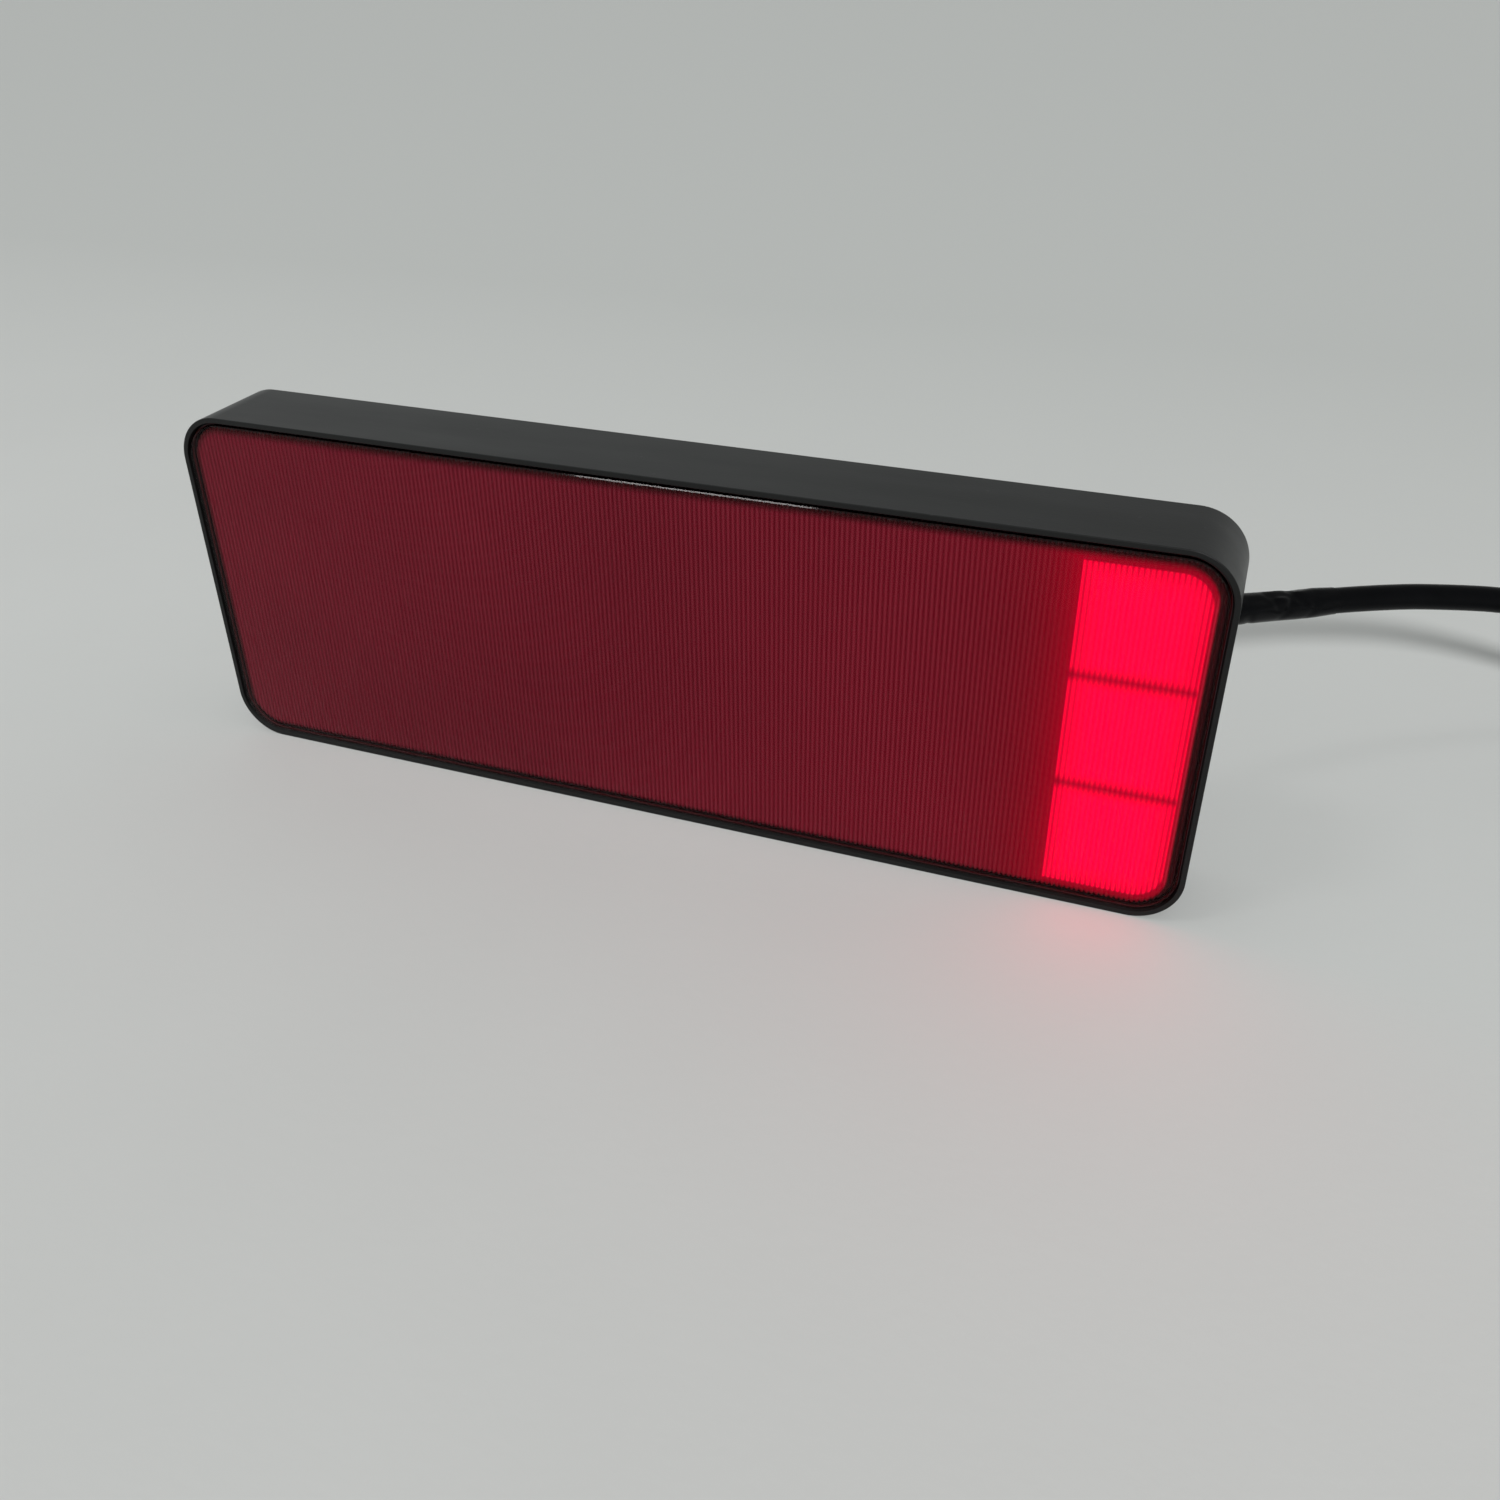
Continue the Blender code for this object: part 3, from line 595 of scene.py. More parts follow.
def make_sheet_material(name, lit):
    """Red acrylic with flutes, with painted shade in the valleys, a painted highlight on the crests
    and on the bead, a painted red spill beside the lit cells, and painted shade round its edge.
    The lit part shines; the rest picks up a little spilt light.
    """
    nodes = Finish(name)
    shader = nodes.shader
    x, _, z = nodes.split(nodes.place())
    wave = flute_wave(nodes, x)
    tone = nodes.noise(14.0, detail=3.0)
    # The flutes' colour paints shade into the valleys and a highlight onto the crests.
    ribs_with_painted_light = nodes.blend(wave, nodes.cloud(tone, VALLEY_PAINTED_SHADE), nodes.cloud(tone, CREST_PAINTED_HIGHLIGHT))
    from_edge = past_lit(nodes, x, z)
    away = nodes.math("MAXIMUM", nodes.math("MULTIPLY", from_edge, -1.0), 0.0)
    # A painted red spill: the colour turns redder beside the lit cells, standing in for their light.
    ribs_with_painted_light = nodes.blend(fall(nodes, away, PAINTED_SPILL_REACH), ribs_with_painted_light, rgba(PAINTED_SPILL_COLOUR))
    # A painted highlight along the bead at the right end.
    bead = nodes.span(nodes.gap(x, BEAD_X), 1.0, 0.0, *BEAD_HALF)
    ribs_with_painted_light = nodes.blend(bead, ribs_with_painted_light, rgba(BEAD_PAINTED_HIGHLIGHT))

    # Painted shade round the sheet's edge, where nothing lit lies behind it: rim is 0 there and 1 in
    # the part lit from behind.
    half_width, half_height = BACKLIT_PART[0] / 2, BACKLIT_PART[1] / 2
    off_middle = nodes.gap(x, BACKLIT_PART_X)
    from_rim = rounded_distance(nodes, off_middle, z, half_width, half_height, BACKLIT_PART_Z, BACKLIT_PART[2])
    softness = nodes.span(x, *EDGE_SHADE_BLUR, *EDGE_SHADE_BLUR_X)
    rim = nodes.math("DIVIDE", from_rim, softness, clamp=True)
    nodes.link(nodes.blend(rim, rgba(PAINTED_EDGE_SHADE), ribs_with_painted_light), shader.inputs["Base Color"])
    shader.inputs["Specular IOR Level"].default_value = 0.25
    gloss = nodes.noise(60.0, detail=3.0, stretch=(1, 1, 0.2))
    nodes.link(nodes.span(gloss, 0.38, 0.48), shader.inputs["Roughness"])

    shader.inputs["Emission Color"].default_value = rgba(GLOW_COLOUR)
    near, far = [
        nodes.math("MULTIPLY", fall(nodes, away, reach), strength)
        for strength, reach in (SPILL_NEAR, SPILL_FAR)
    ]
    glow = nodes.math("MULTIPLY", nodes.math("ADD", near, far), rim)
    if lit:
        shine = nodes.math("MULTIPLY", lit_level(nodes, x, z, wave, from_edge), SHINE)
        glow = nodes.math("MAXIMUM", glow, shine)
    else:
        nodes.material.cycles.emission_sampling = "NONE"
    nodes.link(glow, shader.inputs["Emission Strength"])
    return nodes.material


def make_materials():
    """Every material, by the name of its slot."""
    made = {"housing_plastic": make_housing_material("housing_plastic")}
    for name, (tint, ior) in LENS_FINISHES.items():
        made[name] = make_lens_material(name, tint, ior)
    for name, lit in (("diffuser_acrylic", False), ("diffuser_lit", True)):
        made[name] = make_sheet_material(name, lit)
    for name, settings in PLAIN_FINISHES.items():
        made[name] = moulded(name, **settings)
    return made


# ---------------------------------------------------------------- mesh tools


def finish_mesh(bm, name, sharp_above=32):
    """Turns a bmesh into a smooth mesh whose edges are sharp above an angle in degrees."""
    bmesh.ops.recalc_face_normals(bm, faces=bm.faces)
    mesh = bpy.data.meshes.new(name)
    bm.to_mesh(mesh)
    bm.free()
    mesh.shade_smooth()
    mesh.set_sharp_from_angle(angle=math.radians(sharp_above))
    return mesh


def show(name, data, material, replaces=()):
    """Puts a piece in the scene, riding on the lamp's body."""
    obj = bpy.data.objects.new(name, data)
    bpy.context.scene.collection.objects.link(obj)
    data.materials.append(material)
    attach(obj, ROOT)
    if replaces:
        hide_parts(*replaces)
    return obj


def show_rings(name, rings, material, replaces=(), closed=False, sharp_above=32):
    """Puts a piece in the scene that is lofted through rings."""
    mesh = finish_mesh(loft(rings, closed), name, sharp_above)
    return show(name, mesh, material, replaces)


def outline(width, height, radius, steps=20):
    """Points (x, z) round a rectangle with rounded corners, its middle at the origin."""
    points = []
    for side_x, side_z, start in ((1, -1, -90), (1, 1, 0), (-1, 1, 90), (-1, -1, 180)):
        centre_x = side_x * (width / 2 - radius)
        centre_z = side_z * (height / 2 - radius)
        for step in range(steps + 1):
            angle = math.radians(start + 90 * step / steps)
            points.append((centre_x + radius * math.cos(angle), centre_z + radius * math.sin(angle)))
    return points


def grown(size, by):
    """A size (width, height, radius) with every side moved outwards."""
    width, height, radius = size
    return width + 2 * by, height + 2 * by, radius + by


def ring_of(size, inset, depth, centre=(0, MIDDLE_Z)):
    """The outline of a size (width, height, radius), drawn in by an inset, at a depth."""
    points = outline(*grown(size, -inset))
    return [(centre[0] + x, depth_y(depth), centre[1] + z) for x, z in points]


def around(centre, radius, angle, depth):
    """The point at an angle and a radius round a centre (x, z), at a depth."""
    x, z = centre
    return x + radius * math.cos(angle), depth_y(depth), z + radius * math.sin(angle)


def circle(radius, depth, centre, steps=64):
    """Points round a centre (x, z) at a depth."""
    turns = [2 * math.pi * step / steps for step in range(steps)]
    return [around(centre, radius, turn, depth) for turn in turns]


def loft(rings, closed=False):
    """A bmesh through rings of equal length: capped at both ends, or closed on itself."""
    bm = bmesh.new()
    rows = [[bm.verts.new(point) for point in ring] for ring in rings]
    pairs = list(zip(rows, rows[1:]))
    if closed:
        pairs.append((rows[-1], rows[0]))
    for row, following in pairs:
        for index, vert in enumerate(row):
            after = (index + 1) % len(row)
            bm.faces.new((vert, row[after], following[after], following[index]))
    if not closed:
        bm.faces.new(rows[0][::-1])
        bm.faces.new(rows[-1])
    return bm


def quarter(radius, steps=5):
    """Pairs (inset, rise) that round an edge off, from the face that it leaves to the next."""
    angles = [math.pi / 2 * step / steps for step in range(steps + 1)]
    return [(radius * (1 - math.sin(a)), radius * (1 - math.cos(a))) for a in angles]


def smooth_route(route, spacing):
    """Points at about this spacing along a Catmull-Rom curve through the route's points."""
    points = [Vector(point) for point in route]
    points.insert(0, 2 * points[0] - points[1])
    points.append(2 * points[-1] - points[-2])
    smooth = []
    for before, start, end, after in zip(points, points[1:], points[2:], points[3:]):
        steps = max(1, round((end - start).length / spacing))
        for step in range(steps):
            t = step / steps
            doubled = (
                2 * start + (end - before) * t + (2 * before - 5 * start + 4 * end - after) * t**2
                + (3 * start - before - 3 * end + after) * t**3
            )
            smooth.append(0.5 * doubled)
    smooth.append(points[-2])
    return smooth


def sweep(path, radius_at, steps=28):
    """Rings round a path. radius_at gives the radius at a fraction of the path and an angle."""
    rings = []
    side = Vector((0, 0, 1)).cross(path[1] - path[0]).normalized()
    for index, point in enumerate(path):
        before = path[max(index - 1, 0)]
        after = path[min(index + 1, len(path) - 1)]
        ahead = (after - before).normalized()
        side = (side - side.dot(ahead) * ahead).normalized()
        up = ahead.cross(side)
        ring = []
        for step in range(steps):
            angle = 2 * math.pi * step / steps
            radius = radius_at(index / (len(path) - 1), angle)
            ring.append(point + radius * (math.cos(angle) * side + math.sin(angle) * up))
        rings.append(ring)
    return rings


def cut(obj, bm, name, operation="DIFFERENCE"):
    """Cuts a shape out of a piece, or adds it, and applies the result."""
    tool = bpy.data.objects.new(name, finish_mesh(bm, name))
    bpy.context.scene.collection.objects.link(tool)
    modifier = obj.modifiers.new(name, "BOOLEAN")
    modifier.object = tool
    modifier.operation = operation
    modifier.solver = "EXACT"
    apply_modifiers(obj)
    bpy.data.objects.remove(tool)


def apply_modifiers(obj):
    """Puts the result of a piece's modifiers in its mesh."""
    graph = bpy.context.evaluated_depsgraph_get()
    made = bpy.data.meshes.new_from_object(obj.evaluated_get(graph))
    old = obj.data
    obj.modifiers.clear()
    obj.data = made
    made.name = obj.name
    bpy.data.meshes.remove(old)


def soften_edges(obj, width):
    """Rounds off the piece's sharp edges, and shades its flat faces flat."""
    bevel = obj.modifiers.new("Soft edges", "BEVEL")
    bevel.width = width
    bevel.segments = 2
    bevel.limit_method = "ANGLE"
    bevel.angle_limit = math.radians(50)
    bevel.harden_normals = False
    apply_modifiers(obj)
    obj.data.shade_smooth()
    obj.data.set_sharp_from_angle(angle=math.radians(40))
    weighted = obj.modifiers.new("Flat faces", "WEIGHTED_NORMAL")
    weighted.keep_sharp = True
    weighted.weight = 100


# ---------------------------------------------------------------- camera, stage, light


def make_camera():
    """The photograph's camera."""
    camera = bpy.data.objects.new("camera", bpy.data.cameras.new("camera"))
    camera.data.lens = CAMERA_LENS
    camera.data.sensor_width = CAMERA_SENSOR
    camera.data.clip_start = 0.01
    camera.location = CAMERA_PLACE
    camera.rotation_euler = [math.radians(angle) for angle in CAMERA_TURN]
    bpy.context.scene.collection.objects.link(camera)
    bpy.context.scene.camera = camera
    bpy.context.scene.view_settings.view_transform = "Standard"


def make_floor():
    """A wide pale floor with faint mottling, and painted shade that makes it a little darker far from
    the lamp.
    """
    bm = bmesh.new()
    bmesh.ops.create_grid(bm, x_segments=8, y_segments=8, size=FLOOR_HALF)
    mesh = finish_mesh(bm, "floor")
    floor = bpy.data.objects.new("floor", mesh)
    bpy.context.scene.collection.objects.link(floor)
    nodes = Finish("pale_floor")
    shader = nodes.shader
    near = nodes.cloud(nodes.noise(9.0, detail=5.0), FLOOR_NEAR)
    _, y, _ = nodes.split(nodes.place())
    # Painted shade: the floor darkens far behind the lamp.
    far = nodes.span(y, 0.0, 1.0, *FLOOR_SHADE_FADE_Y)
    nodes.link(nodes.blend(far, near, rgba(FLOOR_FAR_SHADE)), shader.inputs["Base Color"])
    shader.inputs["Roughness"].default_value = 0.75
    shader.inputs["Specular IOR Level"].default_value = 0.12
    nodes.link(nodes.bump(nodes.noise(300.0), 0.2, 0.0002), shader.inputs["Normal"])
    mesh.materials.append(nodes.material)


def make_sky():
    """A plain sky that is brighter towards the horizon, above and below it."""
    world = bpy.data.worlds.new("studio")
    bpy.context.scene.world = world
    nodes = Nodes(world)
    background = nodes.tree.nodes["Background"]
    background.inputs["Color"].default_value = rgba(SKY_COLOUR)
    _, _, height = nodes.split(nodes.add("TexCoord").outputs["Generated"])
    glow = fall(nodes, nodes.math("ABSOLUTE", height), HORIZON_REACH)
    strength = nodes.math("MULTIPLY_ADD", glow, HORIZON_STRENGTH, SKY_STRENGTH)
    nodes.link(strength, background.inputs["Strength"])


def make_lights():
    """A soft key from the front right, and a softbox whose long side lies along X."""
    key = bpy.data.lights.new("key", "SUN")
    key.angle = math.radians(KEY_SPREAD)
    key.energy = KEY_STRENGTH
    softbox = bpy.data.lights.new("softbox", "AREA")
    softbox.shape = "RECTANGLE"
    softbox.size, softbox.size_y = SOFTBOX_SIZE
    softbox.energy = SOFTBOX_POWER
    for light, facing in ((key, KEY_TRAVEL), (softbox, SOFTBOX_TRAVEL)):
        travel = Vector(facing).normalized()
        holder = bpy.data.objects.new(light.name, light)
        holder.location = Vector((LIGHT_AIM_X, 0, MIDDLE_Z)) - travel * SOFTBOX_DISTANCE
        along = (Vector((1, 0, 0)) - travel.x * travel).normalized()
        axes = Matrix((along, along.cross(travel), -travel)).transposed()
        holder.rotation_mode = "QUATERNION"
        holder.rotation_quaternion = axes.to_quaternion()
        bpy.context.scene.collection.objects.link(holder)


# ---------------------------------------------------------------- cable


def coil_points():
    """A flat spiral from its inner turn outwards, settling onto the ground as it starts."""
    points = []
    count = round(COIL_TURNS * COIL_STEPS)
    for step in range(count):
        turns = COIL_TURNS * step / count
        angle = math.pi / 2 - 2 * math.pi * turns
        radius = COIL_INNER + COIL_GROWTH * turns
        settled = min(1.0, turns * COIL_STEPS / COIL_SETTLE_STEPS)
        ease = settled * settled * (3 - 2 * settled)
        x = COIL_CENTRE[0] + radius * math.cos(angle)
        y = COIL_CENTRE[1] + radius * math.sin(angle)
        points.append((x, y, COIL_START + (COIL_BASE - COIL_START) * ease))
    return points


def make_cable(materials):
    """The whole lead on one line, its thin sleeve, the coil's ties and the bare cores."""
    route = SLEEVE_ROUTE + FREE_ROUTE + coil_points() + TAIL_ROUTE
    points = smooth_route(route, PATH_STEP)
    curve = bpy.data.curves.new("lead", "CURVE")
    curve.dimensions = "3D"
    curve.bevel_depth = CABLE_RADIUS
    curve.bevel_resolution = 6
    curve.use_fill_caps = True
    spline = curve.splines.new("POLY")
    spline.points.add(len(points) - 1)
    for spline_point, point in zip(spline.points, points):
        spline_point.co = (*point, 1.0)
    spline.use_smooth = True
    lead = show("lead", curve, materials["cable_jacket"], ("cable", "cable_coil", "cable_tail"))
    others = [make_sleeve(materials["sleeve_film"])]
    for number, angle in enumerate(TIE_ANGLES, 1):
        others.append(make_tie(number, angle, materials["tie_nylon"]))
    others += make_cores(materials)


def angle_apart(angle, middle):
    """How far an angle is from another, between half a turn back and half a turn on."""
    return (angle - middle + math.pi) % (2 * math.pi) - math.pi


def sleeve_radius(along, angle):
    """The sleeve's radius at a fraction of its length and an angle round it."""
    radius = SLEEVE_RADIUS + SLEEVE_WAVE * math.sin(2 * angle + 14 * along)
    taper_start, taper_run = SLEEVE_TAPER_FROM
    radius -= SLEEVE_TAPER * min(max((along - taper_start) / taper_run, 0.0), 1.0)
    for start, end, middle, drift, depth in CREASES:
        within = (along - start) / (end - start)
        if 0 < within < 1:
            apart = angle_apart(angle - drift * within, middle)
            valley = math.exp(-((apart / CREASE_WIDTH) ** 2))
            lip = 0.6 * math.exp(-(((apart - 0.55) / 0.35) ** 2))
            radius -= depth * math.sin(math.pi * within) * (valley - lip)
    for middle_along, middle, skew, depth in KINKS:
        apart = angle_apart(angle, middle)
        off = (along - middle_along - skew * apart) / KINK_LENGTH
        radius -= depth * math.exp(-(off**2) - (apart / KINK_WIDTH) ** 2)
    return max(radius, SLEEVE_LEAST)


def make_sleeve(material):
    """A thin wrinkled sleeve round the first stretch of the cable, open at its outer end."""
    path = smooth_route(SLEEVE_ROUTE[1:], SLEEVE_STEP)
    path.insert(0, Vector(SLEEVE_ROUTE[0]))
    outer = sweep(path, sleeve_radius)
    inner = sweep(path, lambda along, angle: SLEEVE_BORE)
    rings = outer + inner[::-1]
    return show_rings("sleeve", rings, material, ("cable_sleeve",), closed=True, sharp_above=60)


def coil_section(growth, steps=12):
    """Points (radius, height) of a loop round the coil's turns, cut across."""
    radius = CABLE_RADIUS + growth
    points = []
    for centre, start in ((COIL_OUTER, 90), (COIL_INNER, -90)):
        for step in range(steps + 1):
            angle = math.radians(start - 180 * step / steps)
            points.append((centre + radius * math.cos(angle), COIL_BASE + radius * math.sin(angle)))
    return points


def add_block(bm, size, place, rounding, segments):
    """Adds a block with rounded edges to a bmesh."""
    verts = bmesh.ops.create_cube(bm, size=1.0)["verts"]
    bmesh.ops.scale(bm, vec=size, verts=verts)
    bmesh.ops.translate(bm, vec=place, verts=verts)
    edges = list({edge for vert in verts for edge in vert.link_edges})
    bmesh.ops.bevel(bm, geom=edges, offset=rounding, segments=segments, profile=0.5, affect="EDGES")


def make_tie(number, angle, material):
    """A nylon tie: a strap round the turns, its locking head and its trimmed end."""
    name = f"tie_{number}"
    half, third, outside = TIE_WIDTH / 2, GAP + TIE_THICKNESS / 3, GAP + TIE_THICKNESS
    stations = (
        (GAP, -half + TIE_ROUND), (third, -half), (outside - TIE_ROUND, -half),
        (outside, -half + TIE_ROUND), (outside, half - TIE_ROUND),
        (outside - TIE_ROUND, half), (third, half), (GAP, half - TIE_ROUND),
    )
    rings = []
    for growth, across in stations:
        rings.append([(radius, across, height) for radius, height in coil_section(growth)])
    bm = loft(rings, closed=True)
    head_radius = COIL_INNER - CABLE_RADIUS - GAP - TIE_THICKNESS / 2 - TIE_HEAD[0] / 2
    add_block(bm, TIE_HEAD, (head_radius, 0, COIL_BASE), TIE_HEAD_ROUND, 3)
    top = COIL_BASE + TIE_HEAD[2] / 2 + TIE_TAIL_LIFT
    add_block(bm, TIE_TAIL, (head_radius - 0.0003, 0, top), TIE_TAIL_ROUND, 2)
    turn = Matrix.Translation((*COIL_CENTRE, 0)) @ Matrix.Rotation(angle, 4, "Z")
    bmesh.ops.transform(bm, matrix=turn, verts=bm.verts)
    return show(name, finish_mesh(bm, name), material, (f"coil_tie_{number}",))


def insulation_radius(along, angle):
    """A core's radius, all round, drawn in a little where its insulation ends."""
    return CORE_RADIUS * (1 - 0.25 * (along > 0.995))


def strand_radius(along, angle):
    """The radius of a twist of strands, which closes up towards its tip."""
    twist = 1 + 0.13 * abs(math.sin(3.5 * angle + 9 * along))
    return STRAND_RADIUS * twist * (1 - 0.2 * along)


def make_cores(materials):
    """The stripped cores at the far end: insulation, then a twist of copper strands."""
    end = Vector(TAIL_ROUTE[-1])
    ahead = (end - Vector(TAIL_ROUTE[-2])).normalized()
    across = ahead.cross(Vector((0, 0, 1))).normalized()
    pieces = []
    for name, (side, up, middle_side, tip_side) in zip(CORES, CORE_FAN):
        start = end - ahead * CORE_INSIDE + across * side
        start.z = end.z + up
        start_out = start + ahead * (CORE_INSIDE + CORE_LENGTH / 8)
        middle = end + ahead * CORE_LENGTH / 2 + across * middle_side
        middle.z = (start.z + CORE_RADIUS) / 2
        tip = end + ahead * CORE_LENGTH + across * tip_side
        tip.z = CORE_RADIUS + 0.0001
        path = smooth_route([start, start_out, middle, tip], CORE_STEP)
        split = round(len(path) * CORE_BARE_FROM)
        core = f"core_{name}"
        jacket = sweep(path[: split + 1], insulation_radius, 24)
        pieces.append(show_rings(f"{core}_insulation", jacket, materials[core], (core,)))
        strands = sweep(path[split - 1 :], strand_radius, 42)
        copper = materials["copper"]
        pieces.append(show_rings(f"{core}_strands", strands, copper, sharp_above=60))
    return pieces


# ---------------------------------------------------------------- housing


def make_housing(material):
    """The tray, with rounded edges outside, stepped pockets inside and recesses on its back."""
    outside = (WIDTH, HEIGHT, CORNER)
    lens_pocket = grown(outside, -RIM)
    sheet_pocket = grown(SHEET, GAP)
    rings = [
        ring_of(CAVITY, 0, CAVITY_END),
        ring_of(CAVITY, 0, SHEET_LEDGE),
        ring_of(sheet_pocket, 0, SHEET_LEDGE),
        ring_of(sheet_pocket, 0, LENS_LEDGE),
        ring_of(lens_pocket, 0, LENS_LEDGE),
        ring_of(lens_pocket, 0, SOFT_EDGE),
        ring_of(lens_pocket, -SOFT_EDGE * 0.3, SOFT_EDGE * 0.3),
        ring_of(lens_pocket, -SOFT_EDGE, 0),
    ]
    rings += [ring_of(outside, inset, rise) for inset, rise in quarter(FRONT_ROUND)]
    rings += [ring_of(outside, inset, DEPTH - rise) for inset, rise in quarter(BACK_ROUND, 6)[::-1]]
    housing = show_rings("housing_shell", rings, material, ("housing",))
    floor = DEPTH - RECESS_DEPTH
    for side in (-1, 1):
        centre = (side * RECESS_X, MIDDLE_Z)
        recess = [
            ring_of(RECESS, RECESS_FILLET, floor, centre),
            ring_of(RECESS, RECESS_FILLET / 2, floor + 0.0001, centre),
            ring_of(RECESS, 0.0, DEPTH, centre),
            ring_of(RECESS, -0.0002, DEPTH + 0.002, centre),
        ]
        cut(housing, loft(recess), f"recess_{side}")
        pads = [(side * STUD_X, MIDDLE_Z)]
        if side > 0:
            pads.append((EXIT[0], EXIT[2]))
        for index, place in enumerate(pads):
            pad = [
                circle(PAD_RADIUS + 0.0002, floor - 0.0006, place),
                circle(PAD_RADIUS, floor, place),
                circle(PAD_RADIUS - 0.0003, DEPTH, place),
            ]
            cut(housing, loft(pad), f"pad_{side}_{index}", "UNION")
    soften_edges(housing, SOFT_EDGE)


# ---------------------------------------------------------------- lens, sheet, seal


def make_lens(materials):
    """The lens: clear faces, a narrow bright chamfer round the front, and a top edge made dark partly
    by absorption and partly by painted shade for the gap under the rim.
    """
    width, height, _, front, back = extent("outer_lens")
    size = (width - 2 * LENS_TRIM, height - LENS_TRIM - LENS_TOP_TRIM, LENS_CORNER)
    centre = (0, MIDDLE_Z + (LENS_TRIM - LENS_TOP_TRIM) / 2)
    stations = (
        (0.0, back),
        (0.0, front + LENS_CHAMFER + LENS_SOFT),
        (LENS_SOFT * 0.3, front + LENS_CHAMFER),
        (LENS_CHAMFER, front + LENS_SOFT * 0.3),
        (LENS_CHAMFER + LENS_SOFT, front),
    )
    rings = [ring_of(size, inset, depth, centre) for inset, depth in stations]
    lens = show_rings("lens", rings, materials["lens_acrylic"], ("outer_lens",), sharp_above=25)
    clear_back, chamfer, shaded_top_edge = 1, 2, 3
    for name in ("lens_back", "lens_edge", "lens_side"):
        lens.data.materials.append(materials[name])
    for face in lens.data.polygons:
        if face.normal.y > 0.9:
            face.material_index = clear_back
        elif face.normal.y > -0.3:
            face.material_index = shaded_top_edge if face.normal.z > 0.3 else clear_back
        elif face.normal.y > -0.98:
            face.material_index = chamfer


def make_seal(material):
    """The sealing ring between the lens and the housing's ledge."""
    width, height, _, front, back = extent("lens_seal")
    size, hole, rounding = (width, height, SEAL_CORNER), grown(SHEET, 2 * GAP), 0.00012
    rings = [
        ring_of(size, 0, back), ring_of(size, 0, front + rounding), ring_of(size, rounding, front),
        ring_of(hole, -rounding, front), ring_of(hole, 0, front + rounding), ring_of(hole, 0, back),
    ]
    show_rings("seal", rings, material, ("lens_seal",), closed=True)


def make_sheet(dark, lit):
    """The fluted sheet: vertical ridges whose round ends stand past the valleys between them."""
    _, _, _, front, back = extent("fluted_diffuser")
    half_width, half_height, corner = SHEET[0] / 2, SHEET[1] / 2, SHEET[2]
    flute_half = FLUTES * FLUTE_PITCH / 2
    columns = []
    for index in range(FLUTES * FLUTE_STEPS + 1):
        x = -flute_half + index * FLUTE_PITCH / FLUTE_STEPS
        columns.append((x, abs(math.sin(math.pi * index / FLUTE_STEPS))))
    bead = half_width - flute_half
    edge = [(flute_half + bead * t, math.sin(math.pi * t)) for t in END_STEPS]
    columns = [(-x, ridge) for x, ridge in edge[::-1]] + columns + edge
    rings = []
    for x, ridge in columns:
        past = max(0.0, abs(x) - (half_width - corner))
        reach = half_height - corner + math.sqrt(max(corner**2 - past**2, 0.0))
        top = reach - FLUTE_TOOTH * (1 - ridge)
        crest = front + FLUTE_HEIGHT * (1 - ridge)
        upper = [(top - inset, crest + FLUTE_END_DROP * drop) for inset, drop in FLUTE_ENDS]
        loop = [(-z, depth) for z, depth in upper] + upper[::-1] + [(top, back), (-top, back)]
        rings.append([(x, depth_y(depth), MIDDLE_Z + z) for z, depth in loop])
    sheet = show_rings("fluted_sheet", rings, dark, ("fluted_diffuser",), sharp_above=40)
    sheet.data.materials.append(lit)
    for face in sheet.data.polygons:
        in_lit_part = LIT_LEFT - LIT_MARGIN < face.center.x < LIT_RIGHT + LIT_MARGIN
        face.material_index = int(face.normal.y < 0 and in_lit_part)


# ---------------------------------------------------------------- fixings and grommet


def thread(start, end, centre):
    """Rings of a stud's thread between two depths, its crests fading at the tip."""
    rings = []
    count = round((end - start) / THREAD_PITCH * THREAD_RINGS)
    for index in range(count + 1):
        depth = start + (end - start) * index / count
        groove = min(1.0, (end - depth) / THREAD_PITCH) * THREAD_HEIGHT
        chamfer = max(0.0, THREAD_TIP - (end - depth))
        ring = []
        for step in range(THREAD_STEPS):
            turn = step / THREAD_STEPS
            phase = ((depth - start) / THREAD_PITCH - turn) % 1.0
            ridge = abs(2 * phase - 1)
            radius = STUD_RADIUS - groove * (1 - min(1.0, ridge * THREAD_CREST)) - chamfer
            ring.append(around(centre, radius, 2 * math.pi * turn, depth))
        rings.append(ring)
    return rings


def make_stud(number, material):
    """A threaded stud, its flat head inside the housing."""
    name = f"stud_{number}"
    width, _, centre, front, tip = extent(f"mounting_{name}")
    head, back = width / 2, front + STUD_HEAD
    profile = (
        (head - STUD_HEAD_ROUND, front), (head, front + STUD_HEAD_ROUND),
        (head, back - 0.0003), (head - 0.0003, back),
        (STUD_RADIUS, back), (STUD_RADIUS, DEPTH - 0.0005),
    )
    rings = [circle(radius, depth, centre, THREAD_STEPS) for radius, depth in profile]
    rings += thread(DEPTH, tip, centre)
    show_rings(name, rings, material, (f"mounting_{name}",), sharp_above=40)


def make_washer(number, material):
    """A round washer with rounded rims."""
    name = f"washer_{number}"
    width, _, centre, front, back = extent(f"stud_{name}")
    rim = width / 2
    profile = (
        (WASHER_BORE, front), (rim - WASHER_ROUND, front), (rim, front + WASHER_ROUND),
        (rim, back - WASHER_ROUND), (rim - WASHER_ROUND, back),
        (WASHER_BORE + 0.0001, back), (WASHER_BORE, back - 0.0001),
    )
    rings = [circle(radius, depth, centre) for radius, depth in profile]
    show_rings(name, rings, material, (f"stud_{name}",), closed=True)


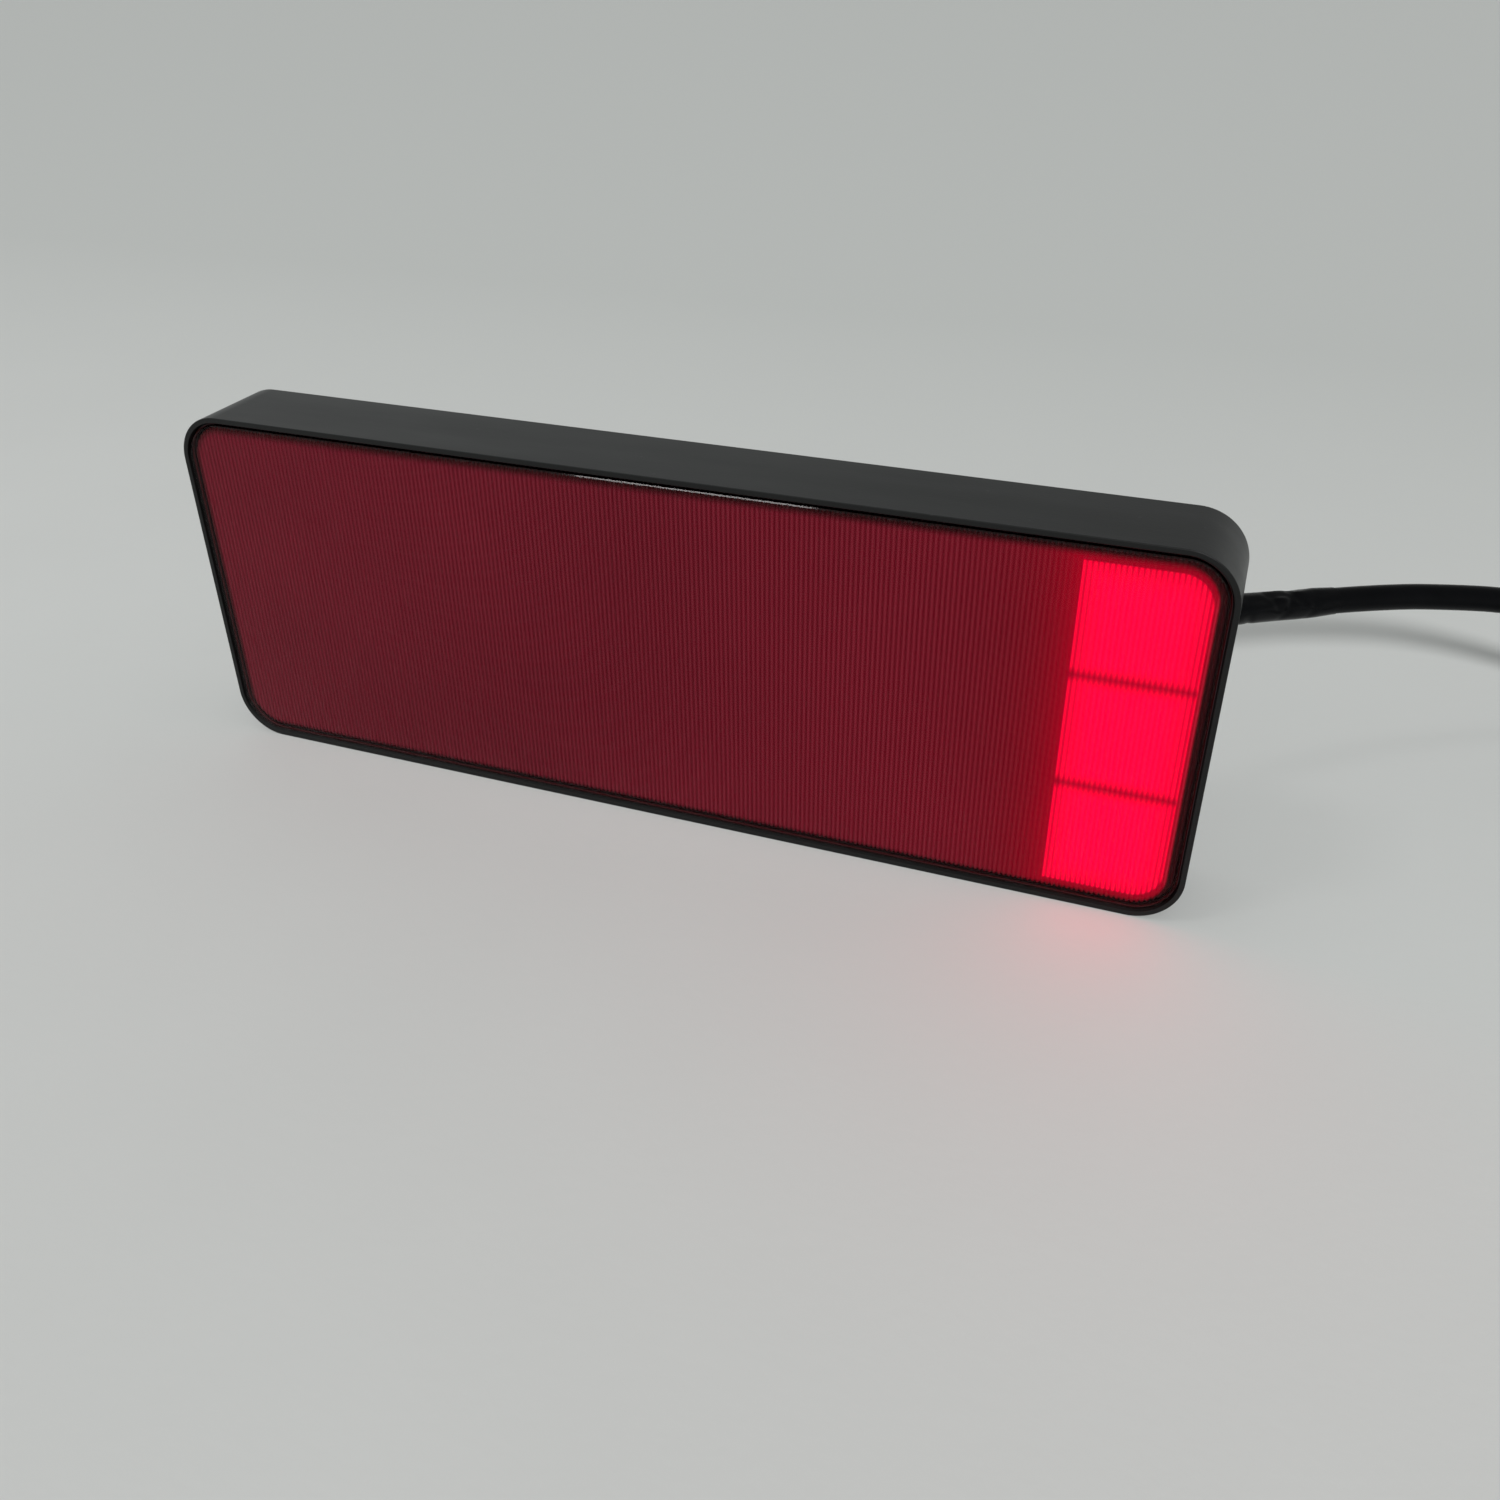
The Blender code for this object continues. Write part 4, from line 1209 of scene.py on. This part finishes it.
def nut_ring(end, inward, centre, on_face):
    """A ring of the nut: round on the face at its end, or the hexagon where the chamfer stops."""
    flat = NUT_FLATS / 2
    ring = []
    for step in range(NUT_STEPS):
        angle = 2 * math.pi * step / NUT_STEPS
        out = flat / math.cos((angle + math.pi / 6) % (math.pi / 3) - math.pi / 6)
        radius, drop = NUT_CHAMFER_RADIUS, 0
        if not on_face:
            radius, drop = out, (out - NUT_CHAMFER_RADIUS) * math.tan(NUT_CHAMFER_ANGLE)
        ring.append(around(centre, radius, angle, end + inward * drop))
    return ring


def make_nut(number, material):
    """A hexagon nut, with the round chamfer that cuts its corners, and a countersunk bore."""
    name = f"nut_{number}"
    _, _, centre, front, back = extent(f"stud_{name}")
    rings = [
        circle(NUT_BORE, front, centre, NUT_STEPS),
        nut_ring(front, 1, centre, True),
        nut_ring(front, 1, centre, False),
        nut_ring(back, -1, centre, False),
        nut_ring(back, -1, centre, True),
        circle(NUT_SINK_RADIUS, back, centre, NUT_STEPS),
        circle(NUT_BORE, back - NUT_SINK, centre, NUT_STEPS),
    ]
    show_rings(name, rings, material, (f"stud_{name}",), closed=True, sharp_above=25)


def make_grommet(material):
    """A rubber grommet with a ribbed collar that tapers along the cable."""
    bore, flange, inside = GROMMET_BORE, GROMMET_FLANGE, CAVITY_END - 0.0013
    tip = EXIT[1] - FRONT_Y
    profile = [
        (bore, inside), (flange - 0.0004, inside), (flange, CAVITY_END - 0.0010),
        (flange, CAVITY_END - GAP), (GROMMET_NECK, CAVITY_END - GAP),
        (GROMMET_NECK, DEPTH + GAP), (flange, DEPTH + GAP), (flange, DEPTH + 0.0012),
        (flange - 0.0002, DEPTH + 0.0016), (flange - 0.0006, DEPTH + 0.0018),
        (bore + 0.0025, DEPTH + 0.0020), (bore + 0.0022, DEPTH + 0.0024),
    ]
    start = DEPTH + 0.0030
    run = (tip - 0.0006 - start) / GROMMET_RIBS
    for rib in range(GROMMET_RIBS):
        for part, drop in ((0.0, 0.0), (0.15, 0.0001), (0.5, 0.0001), (0.62, 0.0006), (0.88, 0.0006)):
            along = rib + part
            profile.append((bore + 0.0021 - 0.0004 * along - drop, start + run * along))
    profile += [(bore + 0.0009, tip - 0.0004), (bore + 0.0006, tip), (bore, tip)]
    rings = [circle(radius, depth, (EXIT[0], EXIT[2]), 56) for radius, depth in profile]
    show_rings("grommet", rings, material, ("cable_grommet",), closed=True, sharp_above=50)


# ---------------------------------------------------------------- inner parts


def dress_inner_parts(materials):
    """Gives every CAD node that still shows its finish."""
    for name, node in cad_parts.items():
        if name.startswith("led_row"):
            finish = "led_package"
        elif name.startswith("board_screw"):
            finish = "zinc_steel"
        else:
            finish = NODE_FINISHES.get(name)
        if finish:
            for slot in node.material_slots:
                slot.material = materials[finish]


make_camera()
materials = make_materials()
make_cable(materials)
make_floor()
make_sky()
make_lights()
make_housing(materials["housing_plastic"])
make_lens(materials)
make_seal(materials["seal_gasket"])
make_sheet(materials["diffuser_acrylic"], materials["diffuser_lit"])
for make_fixing in (make_stud, make_washer, make_nut):
    for number in (1, 2):
        make_fixing(number, materials["zinc_steel"])
make_grommet(materials["seal_rubber"])
dress_inner_parts(materials)
